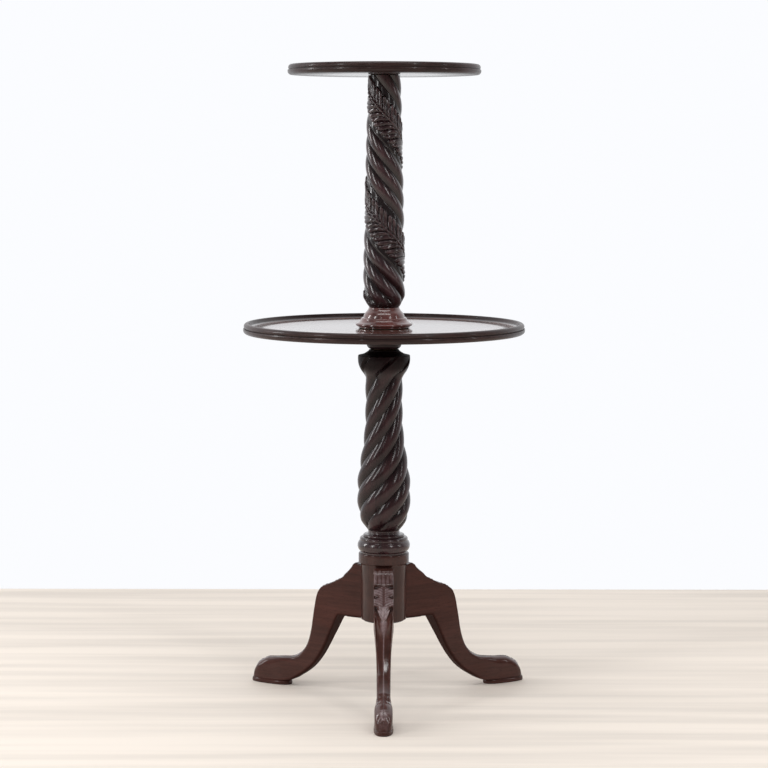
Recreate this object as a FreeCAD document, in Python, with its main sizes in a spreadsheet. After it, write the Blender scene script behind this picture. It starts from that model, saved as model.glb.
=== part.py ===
import FreeCAD, Part
import Sketcher
import math
import os
import re

# Two-tier dumbwaiter serving stand in mahogany: two dished round trays that turn on a
# pillar, and three cabriole legs dovetailed into the hub at the foot of the pillar.
# The origin is on the floor, on the pillar's axis. +Z is up, and the front leg points to -Y.

DOCUMENT_NAME = "DumbwaiterStand"
LEG_COUNT = 3
FULL_TURN = 360.0
FRONT_ANGLE = -90.0

# Driving dimensions in millimetres, one spreadsheet cell each
SIZES = {
    # Clearances: between glued or screwed pieces, and between pieces that turn
    "fit_gap": 0.2,
    "turning_gap": 0.3,
    "cut_overrun": 5.0,
    # Hub: a turned block with a wider drum on top
    "hub_base": 145.0,
    "hub_height": 121.5,
    "hub_radius": 41.0,
    "drum_radius": 45.5,
    "drum_height": 17.0,
    "drum_cove": 5.0,
    "drum_edge": 2.5,
    # Sliding dovetails of the legs
    "dovetail_depth": 14.0,
    "dovetail_neck": 12.0,
    "dovetail_root": 17.0,
    "dovetail_length": 88.0,
    "dovetail_overlap": 2.0,
    # Cabriole legs, each with its own reach
    "front_leg_reach": 291.0,
    "right_leg_reach": 300.0,
    "left_leg_reach": 282.0,
    "leg_width": 35.5,
    "leg_shin_width": 26.0,
    "leg_ankle_width": 23.0,
    "leg_root_drop": 27.0,
    "leg_ear_radius": 53.0,
    "leg_ear_height": 6.0,
    "leg_block_radius": 88.0,
    "foot_width": 34.0,
    "foot_length": 78.0,
    "sole_height": 7.0,
    "foot_height": 49.0,
    # Iron plate under the hub
    "plate_thickness": 2.5,
    "plate_radius": 36.0,
    "plate_arm_reach": 80.0,
    "plate_arm_width": 18.0,
    "arm_screw_circle": 66.0,
    "hub_screw_circle": 28.0,
    # Wood screws
    "screw_radius": 2.2,
    "screw_head_radius": 4.2,
    "screw_head_height": 2.2,
    "plate_screw_length": 22.0,
    "boss_screw_length": 12.5,
    "pivot_screw_length": 8.0,
    # Lower column: tenon, base ring, spiral baluster and capital
    "tenon_radius": 14.0,
    "tenon_length": 95.0,
    "seam_height": 3.0,
    "seam_radius": 42.0,
    "ring_radius": 47.0,
    "ring_height": 20.5,
    "wide_bead_radius": 42.5,
    "wide_bead_height": 6.5,
    "small_bead_radius": 37.0,
    "small_bead_height": 4.5,
    "neck_radius": 28.5,
    "neck_height": 7.5,
    "lower_shaft_length": 318.0,
    "lower_shaft_radius": 47.3,
    "lower_lead": 244.0,
    "lower_groove_height": 236.0,
    "cap_radius": 35.0,
    "cap_shoulder": 2.0,
    "cap_height": 7.7,
    "cap_top_radius": 27.0,
    # Round trays, turned from one board with a raised and moulded rim
    "tray_rim_height": 18.3,
    "tray_field_height": 9.3,
    "tray_torus_height": 9.0,
    "tray_base_inset": 3.5,
    "tray_quirk": 1.6,
    "tray_crest_inset": 8.5,
    "tray_slope_width": 9.0,
    "lower_tray_radius": 253.0,
    "upper_tray_radius": 172.5,
    # Bearing of the lower tray
    "washer_thickness": 1.5,
    "washer_radius": 24.0,
    "boss_height": 27.7,
    "boss_neck_radius": 26.5,
    "boss_waist_radius": 31.0,
    "boss_waist_height": 6.0,
    "boss_flange_radius": 64.0,
    "boss_flange_height": 6.5,
    "boss_cove_radius": 44.0,
    "boss_screw_circle": 54.0,
    # Dowel that ties the two columns together through the tray
    "dowel_radius": 12.0,
    "dowel_depth": 60.0,
    "dowel_chamfer": 1.5,
    # Turned foot of the upper column
    "felt_thickness": 1.0,
    "felt_radius": 44.0,
    "foot_ring_radius": 52.0,
    "foot_ring_height": 6.5,
    "foot_fillet_radius": 48.0,
    "foot_fillet_height": 2.5,
    "foot_cove_height": 23.5,
    "foot_neck_radius": 27.5,
    "foot_neck_height": 3.2,
    # Upper column
    "upper_shaft_length": 411.0,
    "upper_shaft_radius": 37.8,
    "upper_lead": 200.0,
    "upper_groove_height": 176.5,
    "upper_socket_depth": 50.5,
    # Pivot of the upper tray
    "upper_washer_thickness": 0.8,
    "pivot_plate_radius": 25.0,
    "pivot_plate_thickness": 3.0,
    "pivot_pin_radius": 8.0,
    "pivot_pin_length": 58.0,
    "pivot_socket_depth": 60.0,
    "pivot_screw_circle": 17.5,
}

# Heights and radii that follow from the sizes above
PLACES = {
    "hub_top": "hub_base + hub_height",
    "drum_base": "hub_top - drum_height",
    "leg_root_top": "hub_top - leg_root_drop",
    "dovetail_inner": "hub_radius - dovetail_depth",
    "dovetail_outer": "hub_radius + dovetail_overlap",
    "ring_base": "hub_top + seam_height",
    "ring_top": "ring_base + ring_height",
    "wide_bead_top": "ring_top + wide_bead_height",
    "small_bead_top": "wide_bead_top + small_bead_height",
    "lower_shaft_base": "small_bead_top + neck_height",
    "lower_shaft_top": "lower_shaft_base + lower_shaft_length",
    "lower_column_top": "lower_shaft_top + cap_height",
    "washer_top": "lower_column_top + washer_thickness",
    "boss_base": "washer_top + turning_gap",
    "lower_tray_base": "boss_base + boss_height",
    "lower_tray_field": "lower_tray_base + tray_field_height",
    "felt_base": "lower_tray_field + turning_gap",
    "foot_base": "felt_base + felt_thickness",
    "foot_fillet_top": "foot_base + foot_ring_height + foot_fillet_height",
    "foot_cove_top": "foot_fillet_top + foot_cove_height",
    "upper_column_base": "foot_cove_top + foot_neck_height",
    "upper_column_top": "upper_column_base + upper_shaft_length",
    "upper_washer_top": "upper_column_top + upper_washer_thickness",
    "upper_tray_base": "upper_washer_top + turning_gap",
    "turning_bore": "dowel_radius + turning_gap",
    "fitted_bore": "dowel_radius + fit_gap",
    "pivot_bore": "pivot_pin_radius + turning_gap",
    "plate_pilot_depth": "plate_screw_length - plate_thickness + fit_gap",
    "boss_pilot_depth": "boss_screw_length - boss_flange_height + fit_gap",
    "pivot_pilot_depth": "pivot_screw_length + fit_gap",
}

# Outline of the lower shaft: share of its length up from the neck, share of its widest radius
LOWER_SHAFT_SHARES = [
    (0.0, 0.62), (0.035, 0.77), (0.09, 0.90), (0.15, 0.97), (0.22, 1.0), (0.29, 0.985),
    (0.37, 0.90), (0.50, 0.765), (0.62, 0.715), (0.80, 0.70), (0.86, 0.715), (0.905, 0.80),
    (0.945, 0.94), (0.965, 1.0), (0.985, 1.0), (1.0, 0.86),
]
# Outline of the upper shaft, written the same way
UPPER_SHAFT_SHARES = [
    (0.0, 0.71), (0.01, 0.79), (0.024, 0.90), (0.05, 0.995), (0.12, 1.0), (0.23, 0.98),
    (0.47, 0.925), (0.75, 0.855), (1.0, 0.775),
]
STRAND_COUNT = 6
PLAIN_STRANDS = 3
GROOVE_SHARE = 0.86
BAND_SHARE = 0.955
SECTION_TURN = 24.0

# Radius of each kind of moulding arc, as a share of its chord
FULL_ROUND_SHARE = 0.55
ROUND_SHARE = 0.6
QUARTER_ROUND_SHARE = 0.7072
OVOLO_SHARE = 0.76
COVE_SHARE = 0.86
LONG_COVE_SHARE = 1.92

# Leg contours, as shares of the reach and of the height of the leg's root
OUTER_CONTOUR_SHARES = [
    (0.240, 0.940), (0.300, 0.886), (0.355, 0.852), (0.408, 0.826), (0.452, 0.790),
    (0.478, 0.725), (0.494, 0.645), (0.512, 0.545), (0.535, 0.435), (0.566, 0.338),
    (0.617, 0.262), (0.690, 0.220), (0.780, 0.205), (0.862, 0.194), (0.925, 0.158),
    (0.965, 0.105),
]
INNER_CONTOUR_SHARES = [
    (0.340, 0.540), (0.374, 0.458), (0.412, 0.362), (0.460, 0.265), (0.530, 0.165),
    (0.615, 0.090),
]
HEEL_SHARES = (0.700, 0.040)
TOE_SHARES = (0.980, 0.060)
# Front outline of the leg: share of the root's height
SHIN_SHARES = {"ankle": 0.26, "shin": 0.42, "knee": 0.66}

document = FreeCAD.newDocument(DOCUMENT_NAME)
sheet = document.addObject("Spreadsheet::Sheet", "Sizes")
for row, (alias, number) in enumerate(SIZES.items(), start=1):
    sheet.set("A%d" % row, alias)
    sheet.set("B%d" % row, str(number))
    sheet.setAlias("B%d" % row, alias)
document.recompute()

nodes = []


def spelled(formula):
    """Spell a formula of named sizes and places out to the sheet's own cells."""
    def cell(match):
        name = match.group(0)
        if name in PLACES:
            return "(" + spelled(PLACES[name]) + ")"
        return "Sizes." + name if name in SIZES else name
    return re.sub(r"[a-z][a-z_]*", cell, formula)


def size(formula):
    """Value in millimetres of a formula of named sizes and places."""
    return float(sheet.evalExpression(spelled(formula)))


def keep(feature, node, angle=0.0):
    """Name a finished sub-part, turn it about the pillar and list it for export."""
    feature.Label = node
    turn = FreeCAD.Rotation(FreeCAD.Vector(0, 0, 1), angle)
    feature.Placement = FreeCAD.Placement(FreeCAD.Vector(0, 0, 0), turn)
    nodes.append(feature)
    return feature


def new_body(node):
    return document.addObject("PartDesign::Body", node + "_body")


def new_sketch(body, name, role, lift=None):
    """Sketch on one of the body's origin planes, lifted off it by a formula."""
    sketch = body.newObject("Sketcher::SketchObject", name)
    plane = [item for item in body.Origin.OriginFeatures if item.Role == role][0]
    sketch.AttachmentSupport = [(plane, "")]
    sketch.MapMode = "FlatFace"
    if lift:
        sketch.setExpression("AttachmentOffset.Base.z", spelled(lift))
    return sketch


def bind(sketch, constraint, formula):
    index = sketch.addConstraint(constraint)
    sketch.setExpression("Constraints[%d]" % index, spelled(formula))


def pin_point(sketch, geometry, end, place):
    """Hold one end of a sketch edge at a place given by two formulas."""
    for kind, axis, formula in zip(("DistanceX", "DistanceY"), (-2, -1), place):
        value = size(formula)
        if value == 0:
            sketch.addConstraint(Sketcher.Constraint("PointOnObject", geometry, end, axis))
        else:
            bind(sketch, Sketcher.Constraint(kind, -1, 1, geometry, end, value), formula)


def arc_between(start, end, radius, side):
    """Arc of a given radius, its centre to the left (1) or the right (-1) of the way."""
    middle = (start + end) * 0.5
    half = (end - start) * 0.5
    normal = FreeCAD.Vector(-half.y, half.x, 0).normalize()
    rise = math.sqrt(max(radius ** 2 - half.Length ** 2, 0.0))
    centre = middle + normal * (rise * side)
    first, last = (start, end) if side > 0 else (end, start)
    angles = [math.atan2(point.y - centre.y, point.x - centre.x) for point in (first, last)]
    circle = Part.Circle(centre, FreeCAD.Vector(0, 0, 1), radius)
    return Part.ArcOfCircle(circle, *angles)


def chord_share(start, end, share):
    """Formula for a share of the distance between two places given by formulas."""
    across = "((%s) - (%s))^2" % (end[0], start[0])
    up = "((%s) - (%s))^2" % (end[1], start[1])
    return "%s * sqrt(%s + %s)" % (share, across, up)


def draw_outline(sketch, points, arcs=None, curves=None):
    """Closed outline through points, with some edges as arcs or as smooth curves.

    arcs gives (radius as a share of the chord, side) and curves the points in between,
    both by edge number.
    """
    arcs = arcs or {}
    curves = curves or {}
    places = [FreeCAD.Vector(size(x), size(y), 0) for x, y in points]
    ends = []
    for index, start in enumerate(places):
        end = places[(index + 1) % len(places)]
        backwards = False
        if index in arcs:
            share, side = arcs[index]
            radius = chord_share(points[index], points[(index + 1) % len(points)], share)
            edge = sketch.addGeometry(arc_between(start, end, size(radius), side), False)
            bind(sketch, Sketcher.Constraint("Radius", edge, size(radius)), radius)
            backwards = side < 0
        elif index in curves:
            between = [FreeCAD.Vector(size(x), size(y), 0) for x, y in curves[index]]
            spline = Part.BSplineCurve()
            spline.interpolate([start] + between + [end])
            edge = sketch.addGeometry(spline, False)
        else:
            edge = sketch.addGeometry(Part.LineSegment(start, end), False)
        ends.append((edge, 2, 1) if backwards else (edge, 1, 2))
    for index, (edge, tail, _) in enumerate(ends):
        before, _, head = ends[index - 1]
        sketch.addConstraint(Sketcher.Constraint("Coincident", before, head, edge, tail))
        pin_point(sketch, edge, tail, points[index])
    return sketch


def draw_circles(sketch, circles):
    """Circles given as x, y and radius formulas."""
    for x, y, radius in circles:
        centre = FreeCAD.Vector(size(x), size(y), 0)
        circle = Part.Circle(centre, FreeCAD.Vector(0, 0, 1), size(radius))
        edge = sketch.addGeometry(circle, False)
        bind(sketch, Sketcher.Constraint("Radius", edge, size(radius)), radius)
        pin_point(sketch, edge, 3, (x, y))
    return sketch


def revolve(body, name, points, arcs=None):
    """Turn an outline of radius and height once round the pillar's axis."""
    sketch = draw_outline(new_sketch(body, name + "Outline", "XZ_Plane"), points, arcs)
    turned = body.newObject("PartDesign::Revolution", name)
    turned.Profile = sketch
    turned.ReferenceAxis = (sketch, ["V_Axis"])
    turned.Angle = FULL_TURN
    document.recompute()
    return turned


def pad(body, name, sketch, length, symmetric=False):
    raised = body.newObject("PartDesign::Pad", name)
    raised.Profile = sketch
    raised.SideType = "Symmetric" if symmetric else "One side"
    raised.setExpression("Length", spelled(length))
    body.Tip = raised
    document.recompute()
    return raised


def cut(body, name, sketch, depth=None, backwards=False):
    """Pocket to a depth, or right through, that must take some wood away."""
    whole = body.Shape.Volume
    pocket = body.newObject("PartDesign::Pocket", name)
    pocket.Profile = sketch
    pocket.Reversed = backwards
    if depth:
        pocket.setExpression("Length", spelled(depth))
    else:
        pocket.Type = "ThroughAll"
    body.Tip = pocket
    document.recompute()
    if not body.Shape.Volume < whole:
        raise RuntimeError("%s cuts nothing" % name)
    return pocket


def round_the_pillar(body, name, features, count):
    """Repeat features evenly round the pillar."""
    pattern = body.newObject("PartDesign::PolarPattern", name)
    pattern.Originals = features
    axis = [item for item in body.Origin.OriginFeatures if item.Role == "Z_Axis"][0]
    pattern.Axis = (axis, [""])
    pattern.Angle = FULL_TURN
    pattern.Occurrences = count
    body.Tip = pattern
    document.recompute()
    return pattern


def drill(body, name, place, base, radius, depth):
    """Round hole that goes up into a body from a height."""
    plan = new_sketch(body, name + "Plan", "XY_Plane", base)
    draw_circles(plan, [(place, "0", radius)])
    return cut(body, name, plan, depth, True)


def pilot_hole(body, name, place, base, depth):
    """Blind hole for the thread of a wood screw that comes up from below."""
    return drill(body, name, place, base, "screw_radius + fit_gap", depth)


def countersunk_hole(body, name, place, base, depth):
    """Hole right through for a wood screw, with a countersink for its head below."""
    shank = pilot_hole(body, name + "Shank", place, base, depth)
    head = drill(body, name + "Countersink", place, base, "screw_head_radius + fit_gap",
                 "screw_head_height")
    slope = "-atan((screw_head_radius - screw_radius) / screw_head_height)"
    head.setExpression("TaperAngle", spelled(slope))
    document.recompute()
    return [shank, head]


def turned_piece(node, points, arcs=None):
    """A sub-part that is only turned."""
    body = new_body(node)
    revolve(body, node.title().replace("_", ""), points, arcs)
    return keep(body, node)


def ring_points(inner, outer, base, top):
    return [(inner, base), (outer, base), (outer, top), (inner, top)]


def dovetail_points(spare):
    """Plan of a leg's dovetail, or of its socket when spare is a clearance."""
    neck = "dovetail_neck / 2 + " + spare
    root = "dovetail_root / 2 + " + spare
    inner = "dovetail_inner - " + spare
    return [("dovetail_outer", "-(%s)" % neck), ("dovetail_outer", neck),
            (inner, root), (inner, "-(%s)" % root)]


def circle_places(radius, count, first_angle):
    """Places evenly round the pillar, first_angle degrees from +X."""
    places = []
    for index in range(count):
        angle = math.radians(first_angle + index * FULL_TURN / count)
        places.append((size(radius) * math.cos(angle), size(radius) * math.sin(angle)))
    return places


def make_hub():
    """Turned hub with a bore for the column and three dovetail sockets open below."""
    body = new_body("hub")
    bore = "tenon_radius + fit_gap"
    points = [(bore, "hub_base"), ("hub_radius", "hub_base"),
              ("hub_radius", "drum_base - drum_cove"), ("drum_radius", "drum_base"),
              ("drum_radius", "hub_top - drum_edge"), ("drum_radius - drum_edge", "hub_top"),
              (bore, "hub_top")]
    arcs = {2: (QUARTER_ROUND_SHARE, -1), 4: (QUARTER_ROUND_SHARE, 1)}
    revolve(body, "HubTurning", points, arcs)
    plan = new_sketch(body, "SocketPlan", "XY_Plane", "hub_base")
    draw_outline(plan, dovetail_points("fit_gap"))
    socket = cut(body, "DovetailSocket", plan, "dovetail_length + fit_gap", True)
    round_the_pillar(body, "DovetailSockets", [socket], LEG_COUNT)
    hole = pilot_hole(body, "HubPilot", "-hub_screw_circle", "hub_base", "plate_pilot_depth")
    round_the_pillar(body, "HubPilots", [hole], LEG_COUNT)
    keep(body, "hub", FRONT_ANGLE)


def leg_place(reach, shares):
    """Formulas for a place on the leg's side outline, from its shares."""
    across, up = shares
    return ("%s * %s" % (reach, across), "leg_root_top * %s" % up)


def leg_side_outline(body, reach):
    """Side view of the leg: ear, knee, shin, instep, toe, sole, heel and inner curve."""
    sketch = new_sketch(body, "SideView", "XZ_Plane")
    root = "hub_radius - leg_width / 5"
    points = [
        (root, "hub_base"),
        ("leg_block_radius", "hub_base"),
        leg_place(reach, INNER_CONTOUR_SHARES[0]),
        leg_place(reach, HEEL_SHARES),
        (reach + " - foot_length", "sole_height"),
        (reach + " - foot_length", "0"),
        (reach, "0"),
        (reach, "sole_height / 2"),
        (reach + " - sole_height / 2", "sole_height"),
        leg_place(reach, TOE_SHARES),
        ("leg_ear_radius", "leg_root_top + leg_ear_height"),
        (root, "leg_root_top"),
    ]
    inner = [leg_place(reach, shares) for shares in INNER_CONTOUR_SHARES[1:]]
    outer = [leg_place(reach, shares) for shares in reversed(OUTER_CONTOUR_SHARES)]
    draw_outline(sketch, points, {7: (QUARTER_ROUND_SHARE, 1)}, {2: inner, 9: outer})
    return sketch


def leg_front_waste(body):
    """The two strips sawn off beside the leg, seen from the front."""
    sketch = new_sketch(body, "FrontView", "YZ_Plane")
    edge = "leg_width / 2 + cut_overrun"
    for side in ("", "-"):
        def place(width, height):
            return ("%s(%s)" % (side, width), height)
        points = [place("foot_width / 2", "0"), place(edge, "0"),
                  place(edge, "leg_root_top * %s" % SHIN_SHARES["knee"]),
                  place("leg_width / 2", "leg_root_top * %s" % SHIN_SHARES["knee"]),
                  place("foot_width / 2", "sole_height")]
        between = [place("leg_shin_width / 2", "leg_root_top * %s" % SHIN_SHARES["shin"]),
                   place("leg_ankle_width / 2", "leg_root_top * %s" % SHIN_SHARES["ankle"]),
                   place("(leg_ankle_width + foot_width) / 4", "foot_height * 0.65")]
        draw_outline(sketch, points, None, {3: between})
    return sketch


def leg_toe_waste(body, reach):
    """What is sawn off round the toe, seen from above."""
    sketch = new_sketch(body, "ToePlan", "XY_Plane")
    shoulder = reach + " - foot_width / 3"
    beyond = reach + " + cut_overrun"
    half = "foot_width / 2"
    side = "foot_width / 2 + cut_overrun"
    points = [(shoulder, "-(%s)" % side), (beyond, "-(%s)" % side), (beyond, side),
              (shoulder, side), (shoulder, half), (shoulder, "-(%s)" % half)]
    return draw_outline(sketch, points, {4: (FULL_ROUND_SHARE, -1)})


def make_leg(node, angle, reach):
    """Cabriole leg: sawn to its side, front and toe outlines, coped and dovetailed."""
    body = new_body(node)
    pad(body, "LegBlank", leg_side_outline(body, reach), "leg_width", True)
    cut(body, "LegFaces", leg_front_waste(body), None, True)
    cope = draw_circles(new_sketch(body, "CopePlan", "XY_Plane"),
                        [("0", "0", "hub_radius + fit_gap")])
    cut(body, "HubCope", cope, None, True)
    cut(body, "Toe", leg_toe_waste(body, reach), None, True)
    plan = new_sketch(body, "DovetailPlan", "XY_Plane", "hub_base")
    draw_outline(plan, dovetail_points("0"))
    pad(body, "Dovetail", plan, "dovetail_length")
    pilot_hole(body, "LegPilot", "arm_screw_circle", "hub_base", "plate_pilot_depth")
    return keep(body, node, angle)


def make_legs():
    for index, side in enumerate(("front", "right", "left")):
        angle = FRONT_ANGLE + index * FULL_TURN / LEG_COUNT
        make_leg("leg_" + side, angle, side + "_leg_reach")


def make_leg_plate():
    """Three-armed iron plate screwed under the hub and the roots of the legs."""
    body = new_body("leg_plate")
    base = "hub_base - plate_thickness"
    disc = draw_circles(new_sketch(body, "DiscPlan", "XY_Plane", base),
                        [("0", "0", "plate_radius")])
    pad(body, "Disc", disc, "plate_thickness")
    half = "plate_arm_width / 2"
    arm = new_sketch(body, "ArmPlan", "XY_Plane", base)
    tip = "plate_arm_reach - " + half
    points = [("0", "-" + half), (tip, "-" + half), (tip, half), ("0", half)]
    draw_outline(arm, points, {1: (FULL_ROUND_SHARE, 1)})
    arm_pad = pad(body, "Arm", arm, "plate_thickness")
    round_the_pillar(body, "Arms", [arm_pad], LEG_COUNT)
    for name, place in (("ArmHole", "arm_screw_circle"), ("HubHole", "-hub_screw_circle")):
        hole = countersunk_hole(body, name, place, base, "plate_thickness")
        round_the_pillar(body, name + "s", hole, LEG_COUNT)
    keep(body, "leg_plate", FRONT_ANGLE)


def screw_group(node, places, head_height, length):
    """Wood screws that point up, one solid each, with their heads at one height."""
    solids = []
    for x, y in places:
        foot = FreeCAD.Vector(x, y, size(head_height))
        up = FreeCAD.Vector(0, 0, 1)
        head = Part.makeCone(size("screw_head_radius"), size("screw_radius"),
                             size("screw_head_height"), foot, up)
        shank = Part.makeCylinder(size("screw_radius"), size(length), foot, up)
        solids.append(head.fuse(shank).removeSplitter())
    group = document.addObject("Part::Feature", node + "_group")
    group.Shape = Part.makeCompound(solids)
    keep(group, node)


def smooth_share(shares, along):
    """Radius share at a share of the length, on a smooth curve through the stations."""
    for index in range(len(shares) - 1):
        if along <= shares[index + 1][0]:
            break
    before = shares[max(index - 1, 0)]
    start = shares[index]
    end = shares[index + 1]
    after = shares[min(index + 2, len(shares) - 1)]
    span = end[0] - start[0]
    start_slope = (end[1] - before[1]) / (end[0] - before[0])
    end_slope = (after[1] - start[1]) / (after[0] - start[0])
    part = (along - start[0]) / span
    rest = 1 - part
    return (start[1] * rest ** 2 * (1 + 2 * part) + end[1] * part ** 2 * (3 - 2 * part)
            + span * part * rest * (start_slope * rest - end_slope * part))


def strand_section(radius, height, turn, plain):
    """Section of a shaft: plain strands as round lobes, the rest as one flatter band."""
    step = FULL_TURN / STRAND_COUNT
    edges = []

    def place(angle, share):
        spin = math.radians(turn + angle)
        reach = radius * share
        return FreeCAD.Vector(reach * math.cos(spin), reach * math.sin(spin), height)

    for strand in range(STRAND_COUNT):
        crest, first, last = 1.0, GROOVE_SHARE, GROOVE_SHARE
        if strand >= plain:
            crest = BAND_SHARE
            first = GROOVE_SHARE if strand == plain else BAND_SHARE
            last = GROOVE_SHARE if strand == STRAND_COUNT - 1 else BAND_SHARE
        arc = Part.Arc(place(strand * step, first), place((strand + 0.5) * step, crest),
                       place((strand + 1) * step, last))
        edges.append(arc.toShape())
    return Part.Wire(edges)


def twisted_shaft(name, base, length, radius, shares, lead, groove_height, groove_angle, hand, plain):
    """Shaft lofted through turned sections; hand is 1 where strands climb anticlockwise.

    The edge of the first strand crosses groove_angle at groove_height above the base.
    """
    twist = FULL_TURN * hand / size(lead)
    sections = []
    for index in range(len(shares) - 1):
        start, end = shares[index][0], shares[index + 1][0]
        pieces = max(1, math.ceil(abs(twist) * size(length) * (end - start) / SECTION_TURN))
        for piece in range(pieces):
            sections.append(start + (end - start) * piece / pieces)
    sections.append(shares[-1][0])
    wires = []
    for along in sections:
        rise = size(length) * along
        turn = groove_angle + twist * (rise - size(groove_height))
        reach = size(radius) * smooth_share(shares, along)
        wires.append(strand_section(reach, size(base) + rise, turn, plain))
    shaft = document.addObject("Part::Feature", name)
    shaft.Shape = Part.makeLoft(wires, True, True)
    return shaft


def bored(feature, name, radius, base, depth):
    """Cut a round bore along the pillar's axis into a feature."""
    drill = document.addObject("Part::Cylinder", name + "Drill")
    drill.setExpression("Radius", spelled(radius))
    drill.setExpression("Height", spelled(depth))
    drill.setExpression("Placement.Base.z", spelled(base))
    result = document.addObject("Part::Cut", name)
    result.Base = feature
    result.Tool = drill
    document.recompute()
    return result


def make_lower_column():
    """Spiral baluster with its turned base, tenon and capital, in one piece."""
    foot = new_body("lower_column_foot")
    points = [("0", "hub_top - tenon_length"), ("tenon_radius", "hub_top - tenon_length"),
              ("tenon_radius", "hub_top"), ("seam_radius", "hub_top"),
              ("seam_radius", "ring_base"), ("ring_radius - ring_height / 4", "ring_base"),
              ("wide_bead_radius - fit_gap", "ring_top"),
              ("small_bead_radius", "wide_bead_top"),
              ("neck_radius", "small_bead_top"), ("neck_radius", "lower_shaft_base"),
              ("0", "lower_shaft_base")]
    arcs = {5: (ROUND_SHARE, 1), 6: (FULL_ROUND_SHARE, 1), 7: (FULL_ROUND_SHARE, 1)}
    revolve(foot, "ColumnFoot", points, arcs)
    cap = new_body("lower_column_cap")
    points = [("0", "lower_shaft_top"), ("cap_radius", "lower_shaft_top"),
              ("cap_radius", "lower_shaft_top + cap_shoulder"),
              ("cap_top_radius", "lower_column_top"), ("0", "lower_column_top")]
    revolve(cap, "ColumnCap", points)
    shaft = twisted_shaft("LowerShaft", "lower_shaft_base", "lower_shaft_length",
                          "lower_shaft_radius", LOWER_SHAFT_SHARES, "lower_lead",
                          "lower_groove_height", 180.0, 1, STRAND_COUNT)
    column = document.addObject("Part::MultiFuse", "LowerColumnWood")
    column.Shapes = [foot, shaft, cap]
    document.recompute()
    bore = bored(column, "LowerColumnBored", "fitted_bore", "lower_column_top - dowel_depth",
                 "dowel_depth + washer_thickness")
    keep(bore, "lower_column")


def make_upper_column():
    """Upper column: three plain strands and one broad band for carving, bored at both ends."""
    shaft = twisted_shaft("UpperShaft", "upper_column_base", "upper_shaft_length",
                          "upper_shaft_radius", UPPER_SHAFT_SHARES, "upper_lead",
                          "upper_groove_height", FRONT_ANGLE, -1, PLAIN_STRANDS)
    dowel_hole = bored(shaft, "UpperColumnSocket", "fitted_bore",
                       "upper_column_base - foot_neck_height",
                       "upper_socket_depth + foot_neck_height")
    pivot_hole = bored(dowel_hole, "UpperColumnBored", "pivot_bore",
                       "upper_column_top - pivot_socket_depth",
                       "pivot_socket_depth + foot_neck_height")
    keep(pivot_hole, "upper_column")


def tray_outline(bore, radius, base):
    """Half section of a dished tray: flat board, torus, quirk, bead and inner slope."""
    top = base + " + tray_rim_height"
    field = base + " + tray_field_height"
    quirk = base + " + tray_torus_height"
    points = [(bore, base), (radius + " - tray_base_inset", base),
              (radius + " - tray_quirk", quirk), (radius + " - tray_quirk * 2", quirk),
              (radius + " - tray_crest_inset", top),
              (radius + " - tray_crest_inset - tray_slope_width", field), (bore, field)]
    arcs = {1: (OVOLO_SHARE, 1), 3: (FULL_ROUND_SHARE, 1)}
    return points, arcs


def tray_body(node, bore, radius, base):
    body = new_body(node)
    points, arcs = tray_outline(bore, radius, base)
    revolve(body, "TrayTurning", points, arcs)
    return body


def make_lower_tray():
    body = tray_body("lower_tray", "turning_bore", "lower_tray_radius", "lower_tray_base")
    hole = pilot_hole(body, "BossPilot", "boss_screw_circle", "lower_tray_base",
                      "boss_pilot_depth")
    round_the_pillar(body, "BossPilots", [hole], LEG_COUNT)
    keep(body, "lower_tray")


def make_lower_tray_boss():
    """Turned boss under the lower tray, with a flange screwed to the board."""
    body = new_body("lower_tray_boss")
    flange = "lower_tray_base - boss_flange_height"
    points = [("turning_bore", "boss_base"), ("boss_neck_radius", "boss_base"),
              ("boss_waist_radius", "boss_base + boss_waist_height"),
              ("boss_cove_radius", flange), ("boss_flange_radius - drum_edge", flange),
              ("boss_flange_radius", flange + " + drum_edge"),
              ("boss_flange_radius", "lower_tray_base"), ("turning_bore", "lower_tray_base")]
    revolve(body, "BossTurning", points, {2: (COVE_SHARE, -1), 4: (QUARTER_ROUND_SHARE, 1)})
    hole = countersunk_hole(body, "BossHole", "boss_screw_circle", flange,
                            "boss_flange_height")
    round_the_pillar(body, "BossHoles", hole, LEG_COUNT)
    keep(body, "lower_tray_boss")


def make_lower_bearing():
    """Brass washer on the capital, and felt ring between the tray and the upper column's foot."""
    turned_piece("lower_washer", ring_points("fitted_bore", "washer_radius",
                                             "lower_column_top", "washer_top"))
    turned_piece("foot_felt", ring_points("fitted_bore", "felt_radius", "felt_base", "foot_base"))


def make_centre_dowel():
    """Dowel through the lower tray that ties the upper column to the lower one."""
    low = "lower_column_top - dowel_depth + fit_gap"
    high = "upper_column_base + upper_socket_depth - fit_gap"
    turned_piece("centre_dowel", [
        ("0", low), ("dowel_radius - dowel_chamfer", low),
        ("dowel_radius", low + " + dowel_chamfer"),
        ("dowel_radius", high + " - dowel_chamfer"),
        ("dowel_radius - dowel_chamfer", high), ("0", high)])


def make_column_foot():
    """Turned foot of the upper column: ring, fillet, long cove and neck."""
    ring_top = "foot_base + foot_ring_height"
    points = [("fitted_bore", "foot_base"), ("foot_ring_radius - foot_ring_height / 3", "foot_base"),
              ("foot_ring_radius - foot_ring_height / 3", ring_top),
              ("foot_fillet_radius", ring_top), ("foot_fillet_radius", "foot_fillet_top"),
              ("foot_neck_radius", "foot_cove_top"), ("foot_neck_radius", "upper_column_base"),
              ("fitted_bore", "upper_column_base")]
    arcs = {1: (FULL_ROUND_SHARE, 1), 4: (LONG_COVE_SHARE, -1)}
    turned_piece("column_foot", points, arcs)


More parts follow.
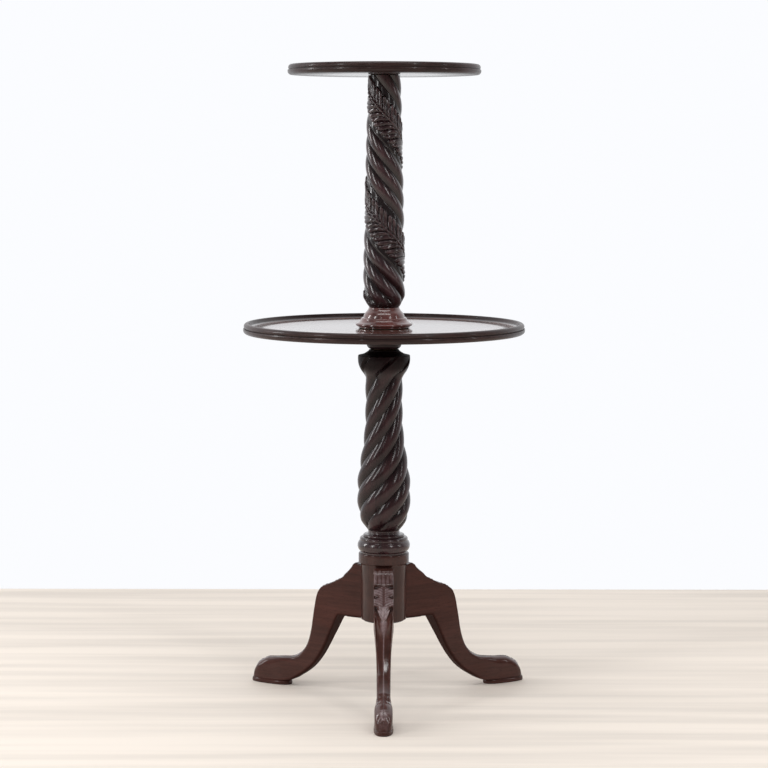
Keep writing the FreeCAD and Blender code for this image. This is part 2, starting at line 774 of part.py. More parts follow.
def make_upper_pivot():
    """Iron plate let into the upper tray, with the pin that turns in the column."""
    turned_piece("upper_washer", ring_points("pivot_bore", "pivot_plate_radius",
                                             "upper_column_top", "upper_washer_top"))
    body = new_body("pivot_plate")
    plate_top = "upper_tray_base + pivot_plate_thickness"
    pin_base = "upper_tray_base - pivot_pin_length"
    points = [("0", pin_base), ("pivot_pin_radius", pin_base),
              ("pivot_pin_radius", "upper_tray_base"), ("pivot_plate_radius", "upper_tray_base"),
              ("pivot_plate_radius", plate_top), ("0", plate_top)]
    revolve(body, "PivotTurning", points)
    hole = countersunk_hole(body, "PivotHole", "pivot_screw_circle", "upper_tray_base",
                            "pivot_plate_thickness")
    round_the_pillar(body, "PivotHoles", hole, LEG_COUNT)
    keep(body, "pivot_plate")


def make_upper_tray():
    """Upper tray, with a round recess under it for the pivot plate."""
    body = tray_body("upper_tray", "0", "upper_tray_radius", "upper_tray_base")
    drill(body, "PivotRecess", "0", "upper_tray_base", "pivot_plate_radius + fit_gap",
          "pivot_plate_thickness")
    hole = pilot_hole(body, "PivotPilot", "pivot_screw_circle", "upper_tray_base",
                      "pivot_pilot_depth")
    round_the_pillar(body, "PivotPilots", [hole], LEG_COUNT)
    keep(body, "upper_tray")


def make_screws():
    """Wood screws: into the legs, the hub, the lower tray and the upper tray."""
    screw_group("leg_screws", circle_places("arm_screw_circle", LEG_COUNT, FRONT_ANGLE),
                "hub_base - plate_thickness", "plate_screw_length")
    screw_group("hub_screws", circle_places("hub_screw_circle", LEG_COUNT, -FRONT_ANGLE),
                "hub_base - plate_thickness", "plate_screw_length")
    screw_group("boss_screws", circle_places("boss_screw_circle", LEG_COUNT, 0.0),
                "lower_tray_base - boss_flange_height", "boss_screw_length")
    screw_group("pivot_plate_screws", circle_places("pivot_screw_circle", LEG_COUNT, 0.0),
                "upper_tray_base", "pivot_screw_length")


def check_document():
    """Stop if any feature failed or any sub-part has no sound solid."""
    document.recompute()
    for feature in document.Objects:
        if "Invalid" in feature.State or "Error" in feature.State:
            raise RuntimeError("%s failed" % feature.Name)
    for feature in nodes:
        if feature.Shape.isNull() or not feature.Shape.isValid() or not feature.Shape.Solids:
            raise RuntimeError("%s has no sound solid" % feature.Label)


def export_nodes():
    os.makedirs("parts", exist_ok=True)
    for feature in nodes:
        feature.Shape.exportStep("parts/%s.step" % feature.Label)
        print("%-20s %3d solids %10.0f mm3" % (
            feature.Label, len(feature.Shape.Solids), feature.Shape.Volume))


make_hub()
make_legs()
make_leg_plate()
make_lower_column()
make_lower_bearing()
make_lower_tray_boss()
make_lower_tray()
make_centre_dowel()
make_column_foot()
make_upper_column()
make_upper_pivot()
make_upper_tray()
make_screws()
check_document()
export_nodes()
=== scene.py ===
"""Looks of a two-tier dumbwaiter serving stand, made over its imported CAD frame.

Sizes are in millimetres, heights are above the floor and radii are from the pillar's axis.
Angles are in degrees, anticlockwise from +X seen from above. A mesh is turned to metres
once, when its points are written.
"""

import logging
import math
from dataclasses import dataclass
from enum import Enum

import bpy
import numpy as np
from mathutils import Matrix, Vector


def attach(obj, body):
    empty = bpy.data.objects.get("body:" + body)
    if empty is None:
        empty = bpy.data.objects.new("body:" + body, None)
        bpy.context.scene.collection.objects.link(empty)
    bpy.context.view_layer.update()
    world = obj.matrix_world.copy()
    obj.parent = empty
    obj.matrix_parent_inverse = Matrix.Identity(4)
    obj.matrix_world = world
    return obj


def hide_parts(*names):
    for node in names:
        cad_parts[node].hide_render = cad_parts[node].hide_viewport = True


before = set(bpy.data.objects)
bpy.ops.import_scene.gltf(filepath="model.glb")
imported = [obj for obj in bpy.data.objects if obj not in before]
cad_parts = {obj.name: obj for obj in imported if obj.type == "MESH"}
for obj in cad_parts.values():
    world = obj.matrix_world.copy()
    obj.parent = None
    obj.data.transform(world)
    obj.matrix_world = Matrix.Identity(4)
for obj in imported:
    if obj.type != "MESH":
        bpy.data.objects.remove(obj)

MM = 0.001
# Relief runs from 0 in a hollow to 1 on a crest, and an uncarved surface has this much
PLAIN = 0.6
# Height from one row of a carved shaft to the next
ROW_STEP = 0.9
BLACK = (0.0, 0.0, 0.0)
WHITE = (1.0, 1.0, 1.0)
log = logging.getLogger("dumbwaiter")

Array = np.ndarray
Socket = bpy.types.NodeSocket
Colour = tuple[float, float, float]
Place = tuple[float, float, float]
# Rows of numbers; an outline's rows hold the radius and height of a step's end, and then
# its bulge and number of parts where it has them
Table = tuple[tuple[float, ...], ...]
Pair = tuple[float, float]
# Where something starts, where it is full, where it fades and where it ends
Zone = tuple[float, float, float, float]


class Grain(Enum):
    """How much a wood pattern is squeezed along each axis; it is long where this is small."""

    UPRIGHT = (1.0, 1.0, 0.07)
    ACROSS = (0.07, 1.0, 1.0)


class Body(Enum):
    """Names of the bodies that the pieces ride on."""

    STAND = "stand"
    LOWER_TIER = "lower_tier"
    UPPER_TIER = "upper_tier"


# Shaders


class Tree:
    """A node tree whose nodes are joined as they are made."""

    def __init__(self, tree: bpy.types.NodeTree) -> None:
        """Take the tree that nodes go into."""
        self.nodes = tree.nodes
        self.links = tree.links

    def give(self, socket: Socket, value: object) -> None:
        """Fill one input.

        Args:
            socket: The input.
            value: An output socket to join to it, or its value or colour.
        """
        if isinstance(value, Socket):
            self.links.new(value, socket)
        else:
            socket.default_value = (*value, 1.0) if socket.type == "RGBA" else value

    def add(self, kind: str, inputs: dict | None = None, **settings: object) -> bpy.types.Node:
        """Make a node and fill its inputs.

        Args:
            kind: The node's type name.
            inputs: Values or output sockets by input name or number.
            settings: The node's own properties.

        Returns:
            The new node.
        """
        node = self.nodes.new(kind)
        for key, value in settings.items():
            setattr(node, key, value)
        for key, value in (inputs or {}).items():
            self.give(node.inputs[key], value)
        return node

    def spread(self, value: Socket, low: float, high: float, start: float = 0.0,
               end: float = 1.0) -> Socket:
        """Bring a value from low..high to start..end, and hold it there."""
        return self.add("ShaderNodeMapRange", {
            0: value, 1: low, 2: high, 3: start, 4: end}).outputs[0]

    def compute(self, way: str, first: object, second: object) -> Socket:
        """Arithmetic on two numbers or values, by the math node's operation."""
        return self.add("ShaderNodeMath", {0: first, 1: second}, operation=way).outputs[0]

    def times(self, first: object, second: object) -> Socket:
        """Product of two numbers or values."""
        return self.compute("MULTIPLY", first, second)

    def blend(self, share: float, first: Socket, second: Socket) -> Socket:
        """Share of the first value plus the rest of the second."""
        return self.compute("ADD", self.times(first, share), self.times(second, 1 - share))


class Shader(Tree):
    """One material and its nodes."""

    def __init__(self, name: str) -> None:
        """Start a material with a bare surface shader.

        Args:
            name: The material's name.
        """
        self.material = bpy.data.materials.new(name)
        self.material.use_nodes = True
        super().__init__(self.material.node_tree)
        self.surface = self.nodes["Principled BSDF"]

    def set(self, **values: object) -> None:
        """Fill the surface shader's inputs, named with a low line for each space."""
        for key, value in values.items():
            self.give(self.surface.inputs[key.replace("_", " ")], value)

    def place(self, turn: float = 0.0, squeeze: Place = (1.0, 1.0, 1.0)) -> Socket:
        """Object coordinates turned about the pillar's axis and then squeezed.

        Args:
            turn: Angle that brings the piece's own direction to +X.
            squeeze: Scale along each axis.

        Returns:
            The vector socket.
        """
        here = self.add("ShaderNodeTexCoord").outputs["Object"]
        turned_here = self.add("ShaderNodeMapping", {
            "Vector": here, "Rotation": (0.0, 0.0, math.radians(-turn))}).outputs[0]
        return self.add("ShaderNodeMapping", {
            "Vector": turned_here, "Scale": squeeze}).outputs[0]

    def noise(self, place: Socket, scale: float, detail: float = 4.0,
              twist: float = 0.0) -> Socket:
        """Noise from 0 to 1, of so many waves per metre, octaves and distortion."""
        return self.add("ShaderNodeTexNoise", {
            "Vector": place, "Scale": scale, "Detail": detail, "Distortion": twist}).outputs[0]

    def mix(self, share: object, first: object, second: object, way: str = "MIX") -> Socket:
        """Mix a share of the second colour into the first, by the mix node's blend type."""
        return self.add("ShaderNodeMix", {0: share, 6: first, 7: second}, data_type="RGBA",
                        blend_type=way).outputs[2]

    def own(self, name: str) -> Socket:
        """Value socket of one of the piece's own point attributes."""
        return self.add("ShaderNodeAttribute", attribute_name=name).outputs["Fac"]

    def bump(self, height: Socket, distance: float, strength: float) -> None:
        """Bump the surface, where a height of 1 is a distance in metres."""
        self.set(Normal=self.add("ShaderNodeBump", {
            "Height": height, "Distance": distance, "Strength": strength}).outputs[0])


@dataclass(frozen=True)
class Finish:
    """A finish: its name, the record's material slot, and how its shader is filled."""

    name: str
    slot: str

    def material(self) -> bpy.types.Material:
        """Build the finish once and hand it out again after that.

        Returns:
            The material.
        """
        made = bpy.data.materials.get(self.name)
        if made:
            return made
        shader = Shader(self.name)
        self.fill(shader)
        return shader.material

    def fill(self, shader: Shader) -> None:
        """Fill the shader; each kind of finish does this in its own way."""
        raise NotImplementedError


@dataclass(frozen=True)
class PolishedWood(Finish):
    """Wood under old polish: ribbon figure, fine streaks, open pores, and in carving painted
    sheen on crests and painted shade in hollows.
    """

    dark: Colour
    middle: Colour
    wear_and_sheen: Colour
    grain: Grain = Grain.UPRIGHT
    turn: float = 0.0
    carved: bool = False
    roughness: float = 0.34
    coat: float = 1.0
    coat_roughness: float = 0.08
    specular: float = 0.5
    # Waves per metre
    figure_scale: float = 22.0
    streak_scale: float = 210.0
    pore_scale: float = 1500.0
    blotch_scale: float = 30.0
    # Tones from the darkest to the lightest wood, and relief under which hollows get painted
    # shade
    tones: Pair = (0.38, 0.64)
    shaded_below: float = 0.48

    def fill(self, shader: Shader) -> None:
        """Mix figure and streaks, then wear and pores; in carving, crests get painted sheen,
        hollows painted shade, and the varnish is lost in places.

        Args:
            shader: The shader.
        """
        place = shader.place(self.turn, self.grain.value)
        figure = shader.noise(place, self.figure_scale, 3.0, 0.6)
        streak = shader.noise(place, self.streak_scale, 5.0, 0.3)
        pore = shader.spread(shader.noise(place, self.pore_scale, 2.0), 0.30, 0.42, 0.55, 1.0)
        blotch = shader.noise(shader.place(self.turn), self.blotch_scale)
        tone = shader.blend(0.55, figure, streak)
        colour = shader.mix(shader.spread(tone, *self.tones), self.dark, self.middle)
        rough = shader.spread(streak, 0.3, 0.7, self.roughness - 0.05, self.roughness + 0.08)
        coat = self.coat
        if self.carved:
            relief = shader.own("relief")
            # In carving, crests get the worn colour as a painted sheen, with some real wear
            crest = shader.times(shader.spread(relief, PLAIN, 1.0),
                                 shader.spread(tone, *self.tones, 0.35, 1.15))
            wear_and_sheen = shader.times(crest, shader.spread(blotch, 0.3, 0.65, 0.5, 1.0))
        else:
            wear_and_sheen = shader.spread(blotch, 0.45, 0.75, 0.0, 0.55)
        colour = shader.mix(wear_and_sheen, colour, self.wear_and_sheen)
        colour = shader.mix(1.0, colour, shader.mix(pore, BLACK, WHITE), "MULTIPLY")
        if self.carved:
            # Low relief darkens the colour towards a near-black: painted shade in the hollows
            hollow = shader.spread(relief, 0.0, self.shaded_below, 1.0, 0.0)
            painted_shade = tuple(0.3 * part for part in self.dark)
            colour = shader.mix(shader.times(hollow, 0.85), colour, painted_shade)
            rough = shader.compute("ADD", rough, shader.times(hollow, 0.25))
            coat = shader.times(shader.own("shine"), coat)
        shader.set(Base_Color=colour, Roughness=rough, Coat_Weight=coat,
                   Coat_Roughness=self.coat_roughness, Specular_IOR_Level=self.specular)
        shader.bump(shader.blend(0.7, pore, streak), 0.00012, 0.35)


@dataclass(frozen=True)
class Metal(Finish):
    """Old metal: a base tone with tarnish in patches and a fine turned or cast surface."""

    bright: Colour
    tarnish: Colour
    roughness: float

    def fill(self, shader: Shader) -> None:
        """Spread tarnish over the metal in patches, which are also rougher.

        Args:
            shader: The shader.
        """
        place = shader.place()
        patch = shader.noise(place, 120.0, 5.0, 0.4)
        fine = shader.noise(place, 2600.0, 2.0)
        colour = shader.mix(shader.spread(patch, 0.4, 0.65), self.bright, self.tarnish)
        rough = shader.spread(patch, 0.35, 0.7, self.roughness, self.roughness + 0.25)
        shader.set(Base_Color=colour, Roughness=rough, Metallic=1.0)
        shader.bump(fine, 0.00005, 0.3)


@dataclass(frozen=True)
class Felt(Finish):
    """Pressed wool felt with a soft nap."""

    colour: Colour
    faded: Colour

    def fill(self, shader: Shader) -> None:
        """Fade the felt in patches and raise its nap.

        Args:
            shader: The shader.
        """
        place = shader.place()
        nap = shader.noise(place, 3200.0, 6.0, 1.2)
        patch = shader.noise(place, 60.0, 3.0)
        colour = shader.mix(shader.spread(patch, 0.35, 0.65), self.colour, self.faded)
        shader.set(Base_Color=colour, Roughness=0.95, Sheen_Weight=0.5)
        shader.bump(nap, 0.0003, 0.8)


# The worn colour paints the strands' crests lighter: painted highlight with some wear. The upper
# column's lighter worn colour is painted highlight.
COLUMN_WOOD = (0.0084, 0.0026, 0.0036), (0.0205, 0.0058, 0.0076)
COLUMN_WEAR_AND_SHEEN = (0.045, 0.0165, 0.0190)
COLUMN = PolishedWood("column_polish", "column_mahogany", *COLUMN_WOOD, COLUMN_WEAR_AND_SHEEN,
                      carved=True, roughness=0.45, coat=0.70, coat_roughness=0.20,
                      specular=0.05)
UPPER_COLUMN = PolishedWood("upper_column_polish", "column_mahogany", *COLUMN_WOOD,
                            (0.080, 0.036, 0.041), carved=True, roughness=0.42,
                            coat_roughness=0.18, specular=0.05)
BOSS = PolishedWood("boss_polish", "column_mahogany", *COLUMN_WOOD, COLUMN_WEAR_AND_SHEEN,
                    roughness=0.5, coat=0.3, coat_roughness=0.3, specular=0.15)
FOOT = PolishedWood("foot_polish", "foot_mahogany", (0.065, 0.016, 0.013),
                    (0.14, 0.036, 0.031), (0.22, 0.062, 0.052), coat_roughness=0.05,
                    specular=0.35)
# The worn colour paints the tray's field lighter and warmer as a reflection
TRAY = PolishedWood("tray_polish", "tray_mahogany", (0.016, 0.0065, 0.0062),
                    (0.040, 0.0155, 0.0140), (0.20, 0.070, 0.048), grain=Grain.ACROSS,
                    carved=True, coat_roughness=0.06, specular=0.25)
HUB = PolishedWood("hub_polish", "leg_mahogany", (0.029, 0.0105, 0.0085),
                   (0.055, 0.019, 0.015), (0.08, 0.029, 0.022), roughness=0.45, coat=0.6,
                   coat_roughness=0.06, specular=0.06)
DOWEL = PolishedWood("birch_turning", "birch_dowel", (0.42, 0.27, 0.15), (0.55, 0.38, 0.22),
                     (0.60, 0.44, 0.28), roughness=0.55, coat=0.0)
IRON = Metal("black_iron", "iron", (0.055, 0.050, 0.047), (0.075, 0.040, 0.024), 0.48)
# The brass is painted near black: painted shade where the washers show in the gaps
BRASS = Metal("brass_darkened_as_shade", "brass", (0.05, 0.034, 0.018), (0.02, 0.014, 0.009), 0.62)
STEEL = Metal("old_steel", "steel_screws", (0.36, 0.34, 0.32), (0.15, 0.10, 0.075), 0.34)
FELT = Felt("green_felt", "felt", (0.018, 0.045, 0.024), (0.035, 0.06, 0.035))


def leg_finish(turn: float) -> PolishedWood:
    """Polish of one leg, whose grain runs out along the leg.

    Args:
        turn: The leg's angle.

    Returns:
        The finish.
    """
    # The pale lavender grey worn colour is a painted reflection on the carving, shield, shin,
    # arris and foot
    return PolishedWood("leg_polish_%d" % round(turn % 360), "leg_mahogany",
                        (0.046, 0.0155, 0.0115), (0.082, 0.027, 0.0205), (0.29, 0.215, 0.225),
                        grain=Grain.ACROSS, turn=turn, carved=True, roughness=0.5,
                        coat_roughness=0.13, specular=0.05)


# Surfaces


def put(name: str, data: bpy.types.ID) -> bpy.types.Object:
    """Make an object of a mesh, lamp or camera, and put it into the scene.

    Args:
        name: The object's name.
        data: What it shows.

    Returns:
        The new object.
    """
    made = bpy.data.objects.new(name, data)
    bpy.context.scene.collection.objects.link(made)
    return made


class Surface:
    """Points and faces of one piece, gathered from grids.

    A grid's rows run along its outline with the wood on the left, and its columns run
    anticlockwise seen from above, so every face points outwards.
    """

    def __init__(self) -> None:
        """Start with no points."""
        self._points: list[Array] = []
        self._relief: list[Array] = []
        self._shine: list[Array] = []
        self._quads: list[Array] = []
        self._fans: list[Array] = [np.zeros((0, 3), int)]
        self._count = 0

    def _take(self, points: Array, relief: Array | float, shine: Array | float = 1.0) -> Array:
        """Store points and return their numbers, in the same layout.

        Args:
            points: Array whose last axis is x, y, z.
            relief: Depth of carving for each point.
            shine: Share of the varnish that is left, for each point.

        Returns:
            The numbers of the points.
        """
        shape = points.shape[:-1]
        self._points.append(points.reshape(-1, 3))
        self._relief.append(np.broadcast_to(relief, shape).reshape(-1))
        self._shine.append(np.broadcast_to(shine, shape).reshape(-1))
        numbers = self._count + np.arange(int(np.prod(shape))).reshape(shape)
        self._count += numbers.size
        return numbers

    def add(self, points: Array, relief: Array | float = PLAIN, shine: Array | float = 1.0,
            loop: bool = False) -> "Surface":
        """Add a grid that closes round its columns.

        Args:
            points: Rows by columns by x, y, z.
            relief: Depth of carving for each point.
            shine: Share of the varnish that is left, for each point.
            loop: True if the last row joins the first; otherwise fans shut both ends.

        Returns:
            This surface.
        """
        low = self._take(points, relief, shine)
        next_row = np.roll(low, -1, axis=0)
        if not loop:
            low, next_row = low[:-1], next_row[:-1]
        quads = [low, np.roll(low, -1, axis=1), np.roll(next_row, -1, axis=1), next_row]
        self._quads.append(np.stack(quads, axis=-1).reshape(-1, 4))
        if not loop:
            for edge, row in ((low[0][::-1], points[0]), (next_row[-1], points[-1])):
                middle = self._take(row.mean(axis=0)[None, :], PLAIN)
                fan = [edge, np.roll(edge, -1), np.full_like(edge, middle[0])]
                self._fans.append(np.stack(fan, axis=-1))
        return self

    def build(self, name: str, sharp: float = 40.0) -> bpy.types.Object:
        """Write the gathered faces into one mesh object at the origin.

        Args:
            name: The piece's name.
            sharp: Angle past which an edge isn't smoothed.

        Returns:
            The new object.
        """
        points = np.concatenate(self._points) * MM
        faces = [*np.concatenate(self._quads).tolist(), *np.concatenate(self._fans).tolist()]
        mesh = bpy.data.meshes.new(name)
        mesh.from_pydata(points.tolist(), [], faces)
        mesh.shade_smooth()
        for label, values in (("relief", self._relief), ("shine", self._shine)):
            attribute = mesh.attributes.new(label, "FLOAT", "POINT")
            attribute.data.foreach_set("value", np.concatenate(values).astype(np.float32))
        mesh.validate()
        mesh.set_sharp_from_angle(angle=math.radians(sharp))
        return put(name, mesh)


class Outline:
    """Half section of a turned piece, walked with the wood on the left."""

    def __init__(self, radius: float, height: float) -> None:
        """Start at a radius and a height."""
        self._parts = [np.array([[radius, height]])]

    def go(self, radius: float, height: float, bulge: float = 0.0, count: int = 1) -> "Outline":
        """Step to a radius and a height, straight or along a circle.

        Bulge is an arc's rise over its chord, and is negative for a hollow. With half angle
        h = 2 atan(2 bulge), a point at angle a from the arc's middle lies
        (1 + sin a / sin h) / 2 along the chord and chord (cos a - cos h) / (2 sin h) off it.

        Args:
            radius: Radius of the step's end.
            height: Height of the step's end.
            bulge: Rise over chord, to the right of the way where positive.
            count: Number of parts.

        Returns:
            This outline.
        """
        start = self._parts[-1][-1]
        chord = np.array([radius, height]) - start
        if bulge:
            half = 2 * math.atan(2 * bulge)
            angle = np.linspace(-half, half, count + 1)[1:, None]
            along = (1 + np.sin(angle) / math.sin(half)) / 2
            off = (np.cos(angle) - math.cos(half)) / (2 * math.sin(half))
        else:
            along = np.linspace(0, 1, count + 1)[1:, None]
            off = 0 * along
        self._parts.append(start + chord * along + np.array([chord[1], -chord[0]]) * off)
        return self

    def follow(self, steps: Table, radius: float = 0.0, height: float = 0.0) -> "Outline":
        """Take many steps.

        Args:
            steps: The steps' rows.
            radius: What their radii are measured from.
            height: What their heights are measured from.

        Returns:
            This outline.
        """
        for out, up, *bend in steps:
            self.go(radius + out, height + up, *bend)
        return self

    def points(self) -> Array:
        """All steps as rows of radius and height."""
        return np.concatenate(self._parts)


def polar(radius: Array | float, angle: Array | float, height: Array | float) -> Array:
    """Points x = r cos a, y = r sin a, z.

    Args:
        radius: Radii, which are broadcast together with the others.
        angle: Angles.
        height: Heights.

    Returns:
        The points, with x, y, z on the last axis.
    """
    spin = np.radians(angle)
    parts = np.broadcast_arrays(radius * np.cos(spin), radius * np.sin(spin), height)
    return np.stack(parts, axis=-1)


def evenly(count: int) -> Array:
    """Angles of so many columns, evenly round a turn."""
    return np.linspace(0, 360, count, endpoint=False)


def walked(*lines: Array) -> Array:
    """Distance walked at each point of a line, or the mean of it over several lines."""
    steps = sum(np.hypot(*np.diff(line, axis=0).T) for line in lines) / len(lines)
    return np.concatenate([[0], np.cumsum(steps)])


def turned(outline: Outline, angles: Array) -> Array:
    """Surface of revolution: row i and column j lie at radius r_i, angle a_j, height z_i."""
    rows = outline.points()
    return polar(rows[:, :1], angles, rows[:, 1:])


def smooth(stations: Array, values: Array, where: Array) -> Array:
    """Cubic curve through stations that never swings past them.

    Slopes are the harmonic mean of the two neighbouring chords, or 0 at a turning point.

    Args:
        stations: Rising places.
        values: Value at each place, with further axes allowed.
        where: Places to read.

    Returns:
        The values there.
    """
    values = values.reshape(len(stations), -1)
    gap = np.diff(stations)[:, None]
    chord = np.diff(values, axis=0) / gap
    product = chord[:-1] * chord[1:]
    total = chord[:-1] + chord[1:]
    safe = np.where(np.abs(total) > 1e-12, total, 1.0)
    inner = np.where(product > 0, 2 * product / safe, 0.0)
    slope = np.concatenate([chord[:1], inner, chord[-1:]])
    index = np.clip(np.searchsorted(stations, where, side="right") - 1, 0, len(gap) - 1)
    length = gap[index]
    part = ((where - stations[index])[:, None]) / length
    rest = 1 - part
    return (values[index] * rest ** 2 * (1 + 2 * part)
            + values[index + 1] * part ** 2 * (3 - 2 * part)
            + length * part * rest * (slope[index] * rest - slope[index + 1] * part))


def step(low: float, high: float, value: Array) -> Array:
    """Smooth step from 0 at low to 1 at high: 3 t^2 - 2 t^3 of the share t of the way."""
    part = np.clip((value - low) / (high - low), 0, 1)
    return part * part * (3 - 2 * part)


def within(value: Array, zone: Zone) -> Array:
    """Smooth plateau of height 1 that rises, fades and ends where the zone says."""
    start, full, fade, end = zone
    return step(start, full, value) * step(end, fade, value)


def mound(value: Array, width: float) -> Array:
    """Bell curve of height 1 that falls to 1/e at the width."""
    return np.exp(-(value / width) ** 2)


def bell(value: Array, place: Pair) -> Array:
    """Bell curve of height 1 about a place, with its width."""
    return mound(value - place[0], place[1])


def finish_piece(piece: bpy.types.Object, body: Body, finish: Finish, *nodes: str) -> None:
    """Dress a piece, put it on its body and let it stand for CAD nodes.

    Args:
        piece: The mesh object.
        body: What it rides on.
        finish: Its finish.
        nodes: The CAD nodes that it replaces.
    """
    piece.data.materials.append(finish.material())
    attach(piece, body.value)
    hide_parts(*nodes)
    log.info("%-20s %7d faces on %s", piece.name, len(piece.data.polygons), body.value)


def dress_node(node: str, finish: Finish) -> None:
    """Give a CAD node that stays in the model its finish.

    Args:
        node: The node's name.
        finish: Its finish.
    """
    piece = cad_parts[node]
    if not piece.material_slots:
        piece.data.materials.append(finish.material())
    for slot in piece.material_slots:
        slot.material = finish.material()
    log.info("%-20s keeps its CAD mesh", node)


# Columns


def strand(angle: Array, centre: float = 0.465) -> Array:
    """Section of a round strand, as a share of the crest's radius.

    The strand is a circle of radius 1 - c about a point at c: at angle p from its middle
    the surface is at c cos p + sqrt((1 - c)^2 - (c sin p)^2).

    Args:
        angle: Angle from the strand's middle.
        centre: c, the circle's own centre.

    Returns:
        The share for each angle.
    """
    turn = np.radians(angle)
    inside = np.maximum((1 - centre) ** 2 - (centre * np.sin(turn)) ** 2, 0)
    return centre * np.cos(turn) + np.sqrt(inside)


def crest(section: Array) -> Array:
    """Relief of a strand: 1 on its crest, and 0 where it is 0.14 of the radius lower."""
    return np.clip((section - 0.86) / 0.14, 0, 1)


def shaft_rows(girth: Table, base: float, top: float) -> tuple[Array, Array]:
    """Heights of a shaft's rows and the radius on each row, as two columns."""
    height = np.linspace(base, top, int((top - base) / ROW_STEP))
    return height[:, None], smooth(*np.array(girth).T, height)


def capped(foot: Outline, cap: Outline, angles: Array, shaft: Array, relief: Array,
           ends: Pair) -> tuple[Array, Array]:
    """Set a shaft between turned ends, whose columns start where the shaft's do.

    Args:
        foot: Half section below the shaft.
        cap: Half section above it.
        angles: Angle of each point of the shaft.
        shaft: Rows by columns by x, y, z.
        relief: Relief of each point of the shaft.
        ends: Relief of the foot and of the cap.

    Returns:
        Points and relief of the whole column.
    """
    low, high = turned(foot, angles[0]), turned(cap, angles[-1])
    levels = [np.full(low.shape[:2], ends[0]), relief, np.full(high.shape[:2], ends[1])]
    return np.concatenate([low, shaft, high]), np.concatenate(levels)


@dataclass
class LowerColumn:
    """Six-strand spiral baluster with its turned base, tenon and cup-shaped capital."""

    shaft_base: float = 308.5
    lip: float = 623.6
    lead: float = 244.0
    groove_height: float = 545.0
    groove_angle: float = 184.0
    strand_angle: float = 60.0
    columns: int = 180
    # Heights over which the strands start, the twist slows, the strands merge into the cup,
    # varnish is lost, and the clefts run out
    starting: Pair = (308.5, 318.0)
    slowing: Pair = (590.0, 606.0)
    merging: Pair = (584.0, 606.0)
    dulling: Pair = (588.0, 606.0)
    closing: Pair = (610.0, 623.0)
    # Depth as a share of the radius, and widths and places in degrees across a strand
    cleft_depth: float = 0.105
    cleft_width: float = 4.5
    arris_angle: float = 21.5
    arris_width: float = 2.2
    arris_height: float = 0.7
    # Low relief that paints the capital's cup darker as shade under the tray
    cup_relief: float = 0.20
    base_shine: float = 1.6
    # Tenon, seam, torus, two rings and cove
    foot: Table = (
        (13.0, 171.5), (14.0, 172.5), (14.0, 266.5, 0, 4), (42.0, 266.5), (42.0, 269.5),
        (42.2, 269.6), (42.9, 290.0, 0.235, 16), (38.9, 296.0, 0.30, 8), (36.8, 296.4),
        (34.0, 300.9, 0.34, 8), (30.2, 301.6), (28.7, 304.6, -0.2, 5),
        (28.6, 308.3, -0.10, 4))
    # Lip, dished top and bore
    cap: Table = (
        (45.7, 624.3), (44.2, 624.6), (28.2, 632.0, -0.07, 8), (27.4, 632.2),
        (26.4, 634.2, 0.2, 4), (12.2, 634.2, 0, 2), (12.2, 574.2, 0, 4))
    girth: Table = (
        (308.5, 28.8), (311, 31.0), (316, 35.0), (325, 40.9), (334, 44.1), (343, 46.2),
        (361, 48.0), (380, 48.3), (398, 47.6), (410, 46.2), (425, 43.9), (443, 41.2),
        (460, 38.4), (480, 35.9), (507, 34.1), (545, 33.5), (575, 33.6), (582, 34.4),
        (588, 36.2), (597, 41.2), (606, 45.0), (612, 46.4), (618, 46.7), (623.6, 46.5))

    def _twist(self, height: Array) -> Array:
        """Angle of the first groove at each height.

        It climbs one turn in a lead, slows a little in the capital, and is added up from
        the groove's known place.

        Args:
            height: Rising heights.

        Returns:
            The angles.
        """
        rate = 360 / self.lead * (1 - 0.15 * step(*self.slowing, height))
        total = np.concatenate([[0], np.cumsum((rate[1:] + rate[:-1]) / 2 * np.diff(height))])
        return self.groove_angle + total - np.interp(self.groove_height, height, total)

    def _shaft(self) -> tuple[Array, Array, Array]:
        """Rows of the shaft, with columns that follow the strands.

        Returns:
            Angles of the points, the points, and their relief.
        """
        height, radius = shaft_rows(self.girth, self.shaft_base, self.lip)
        share = evenly(self.columns)
        angles = self._twist(height[:, 0])[:, None] + share
        across = share % self.strand_angle - self.strand_angle / 2
        cup = step(*self.merging, height)
        depth = step(*self.starting, height) * (1 - 0.8 * step(*self.closing, height))
        cleft = mound(self.strand_angle / 2 - np.abs(across), self.cleft_width)
        section = (1 - cup) * strand(across) + cup * (1 - self.cleft_depth * cleft)
        section = 1 - depth * (1 - section)
        arris = mound(np.abs(across) - self.arris_angle, self.arris_width) * cup * depth
        # Grooves get low relief as painted shade and crests high relief as painted sheen; the cup
        # and, more so, its clefts get painted shade
        relief = crest(section) * depth + PLAIN * (1 - depth)
        relief = relief * (1 - cup) + self.cup_relief * (1 - 0.85 * cleft) * cup
        reach = radius * section + self.arris_height * arris
        return angles, polar(reach, angles, height), relief

    def build(self) -> None:
        """Build and dress the column as one closed surface from tenon to bore."""
        foot = Outline(*self.foot[0]).follow(self.foot[1:])
        cap = Outline(*self.cap[0]).follow(self.cap[1:])
        # The turned foot takes full relief, painted lighter as sheen, and the cup low relief,
        # painted shade
        points, relief = capped(foot, cap, *self._shaft(), (1.0, self.cup_relief))
        height = points[..., 2]
        shine = np.where(height < self.shaft_base, self.base_shine,
                         1 - 0.75 * step(*self.dulling, height))
        piece = Surface().add(points, relief, shine).build("lower_column_carved")
        finish_piece(piece, Body.STAND, COLUMN, "lower_column")


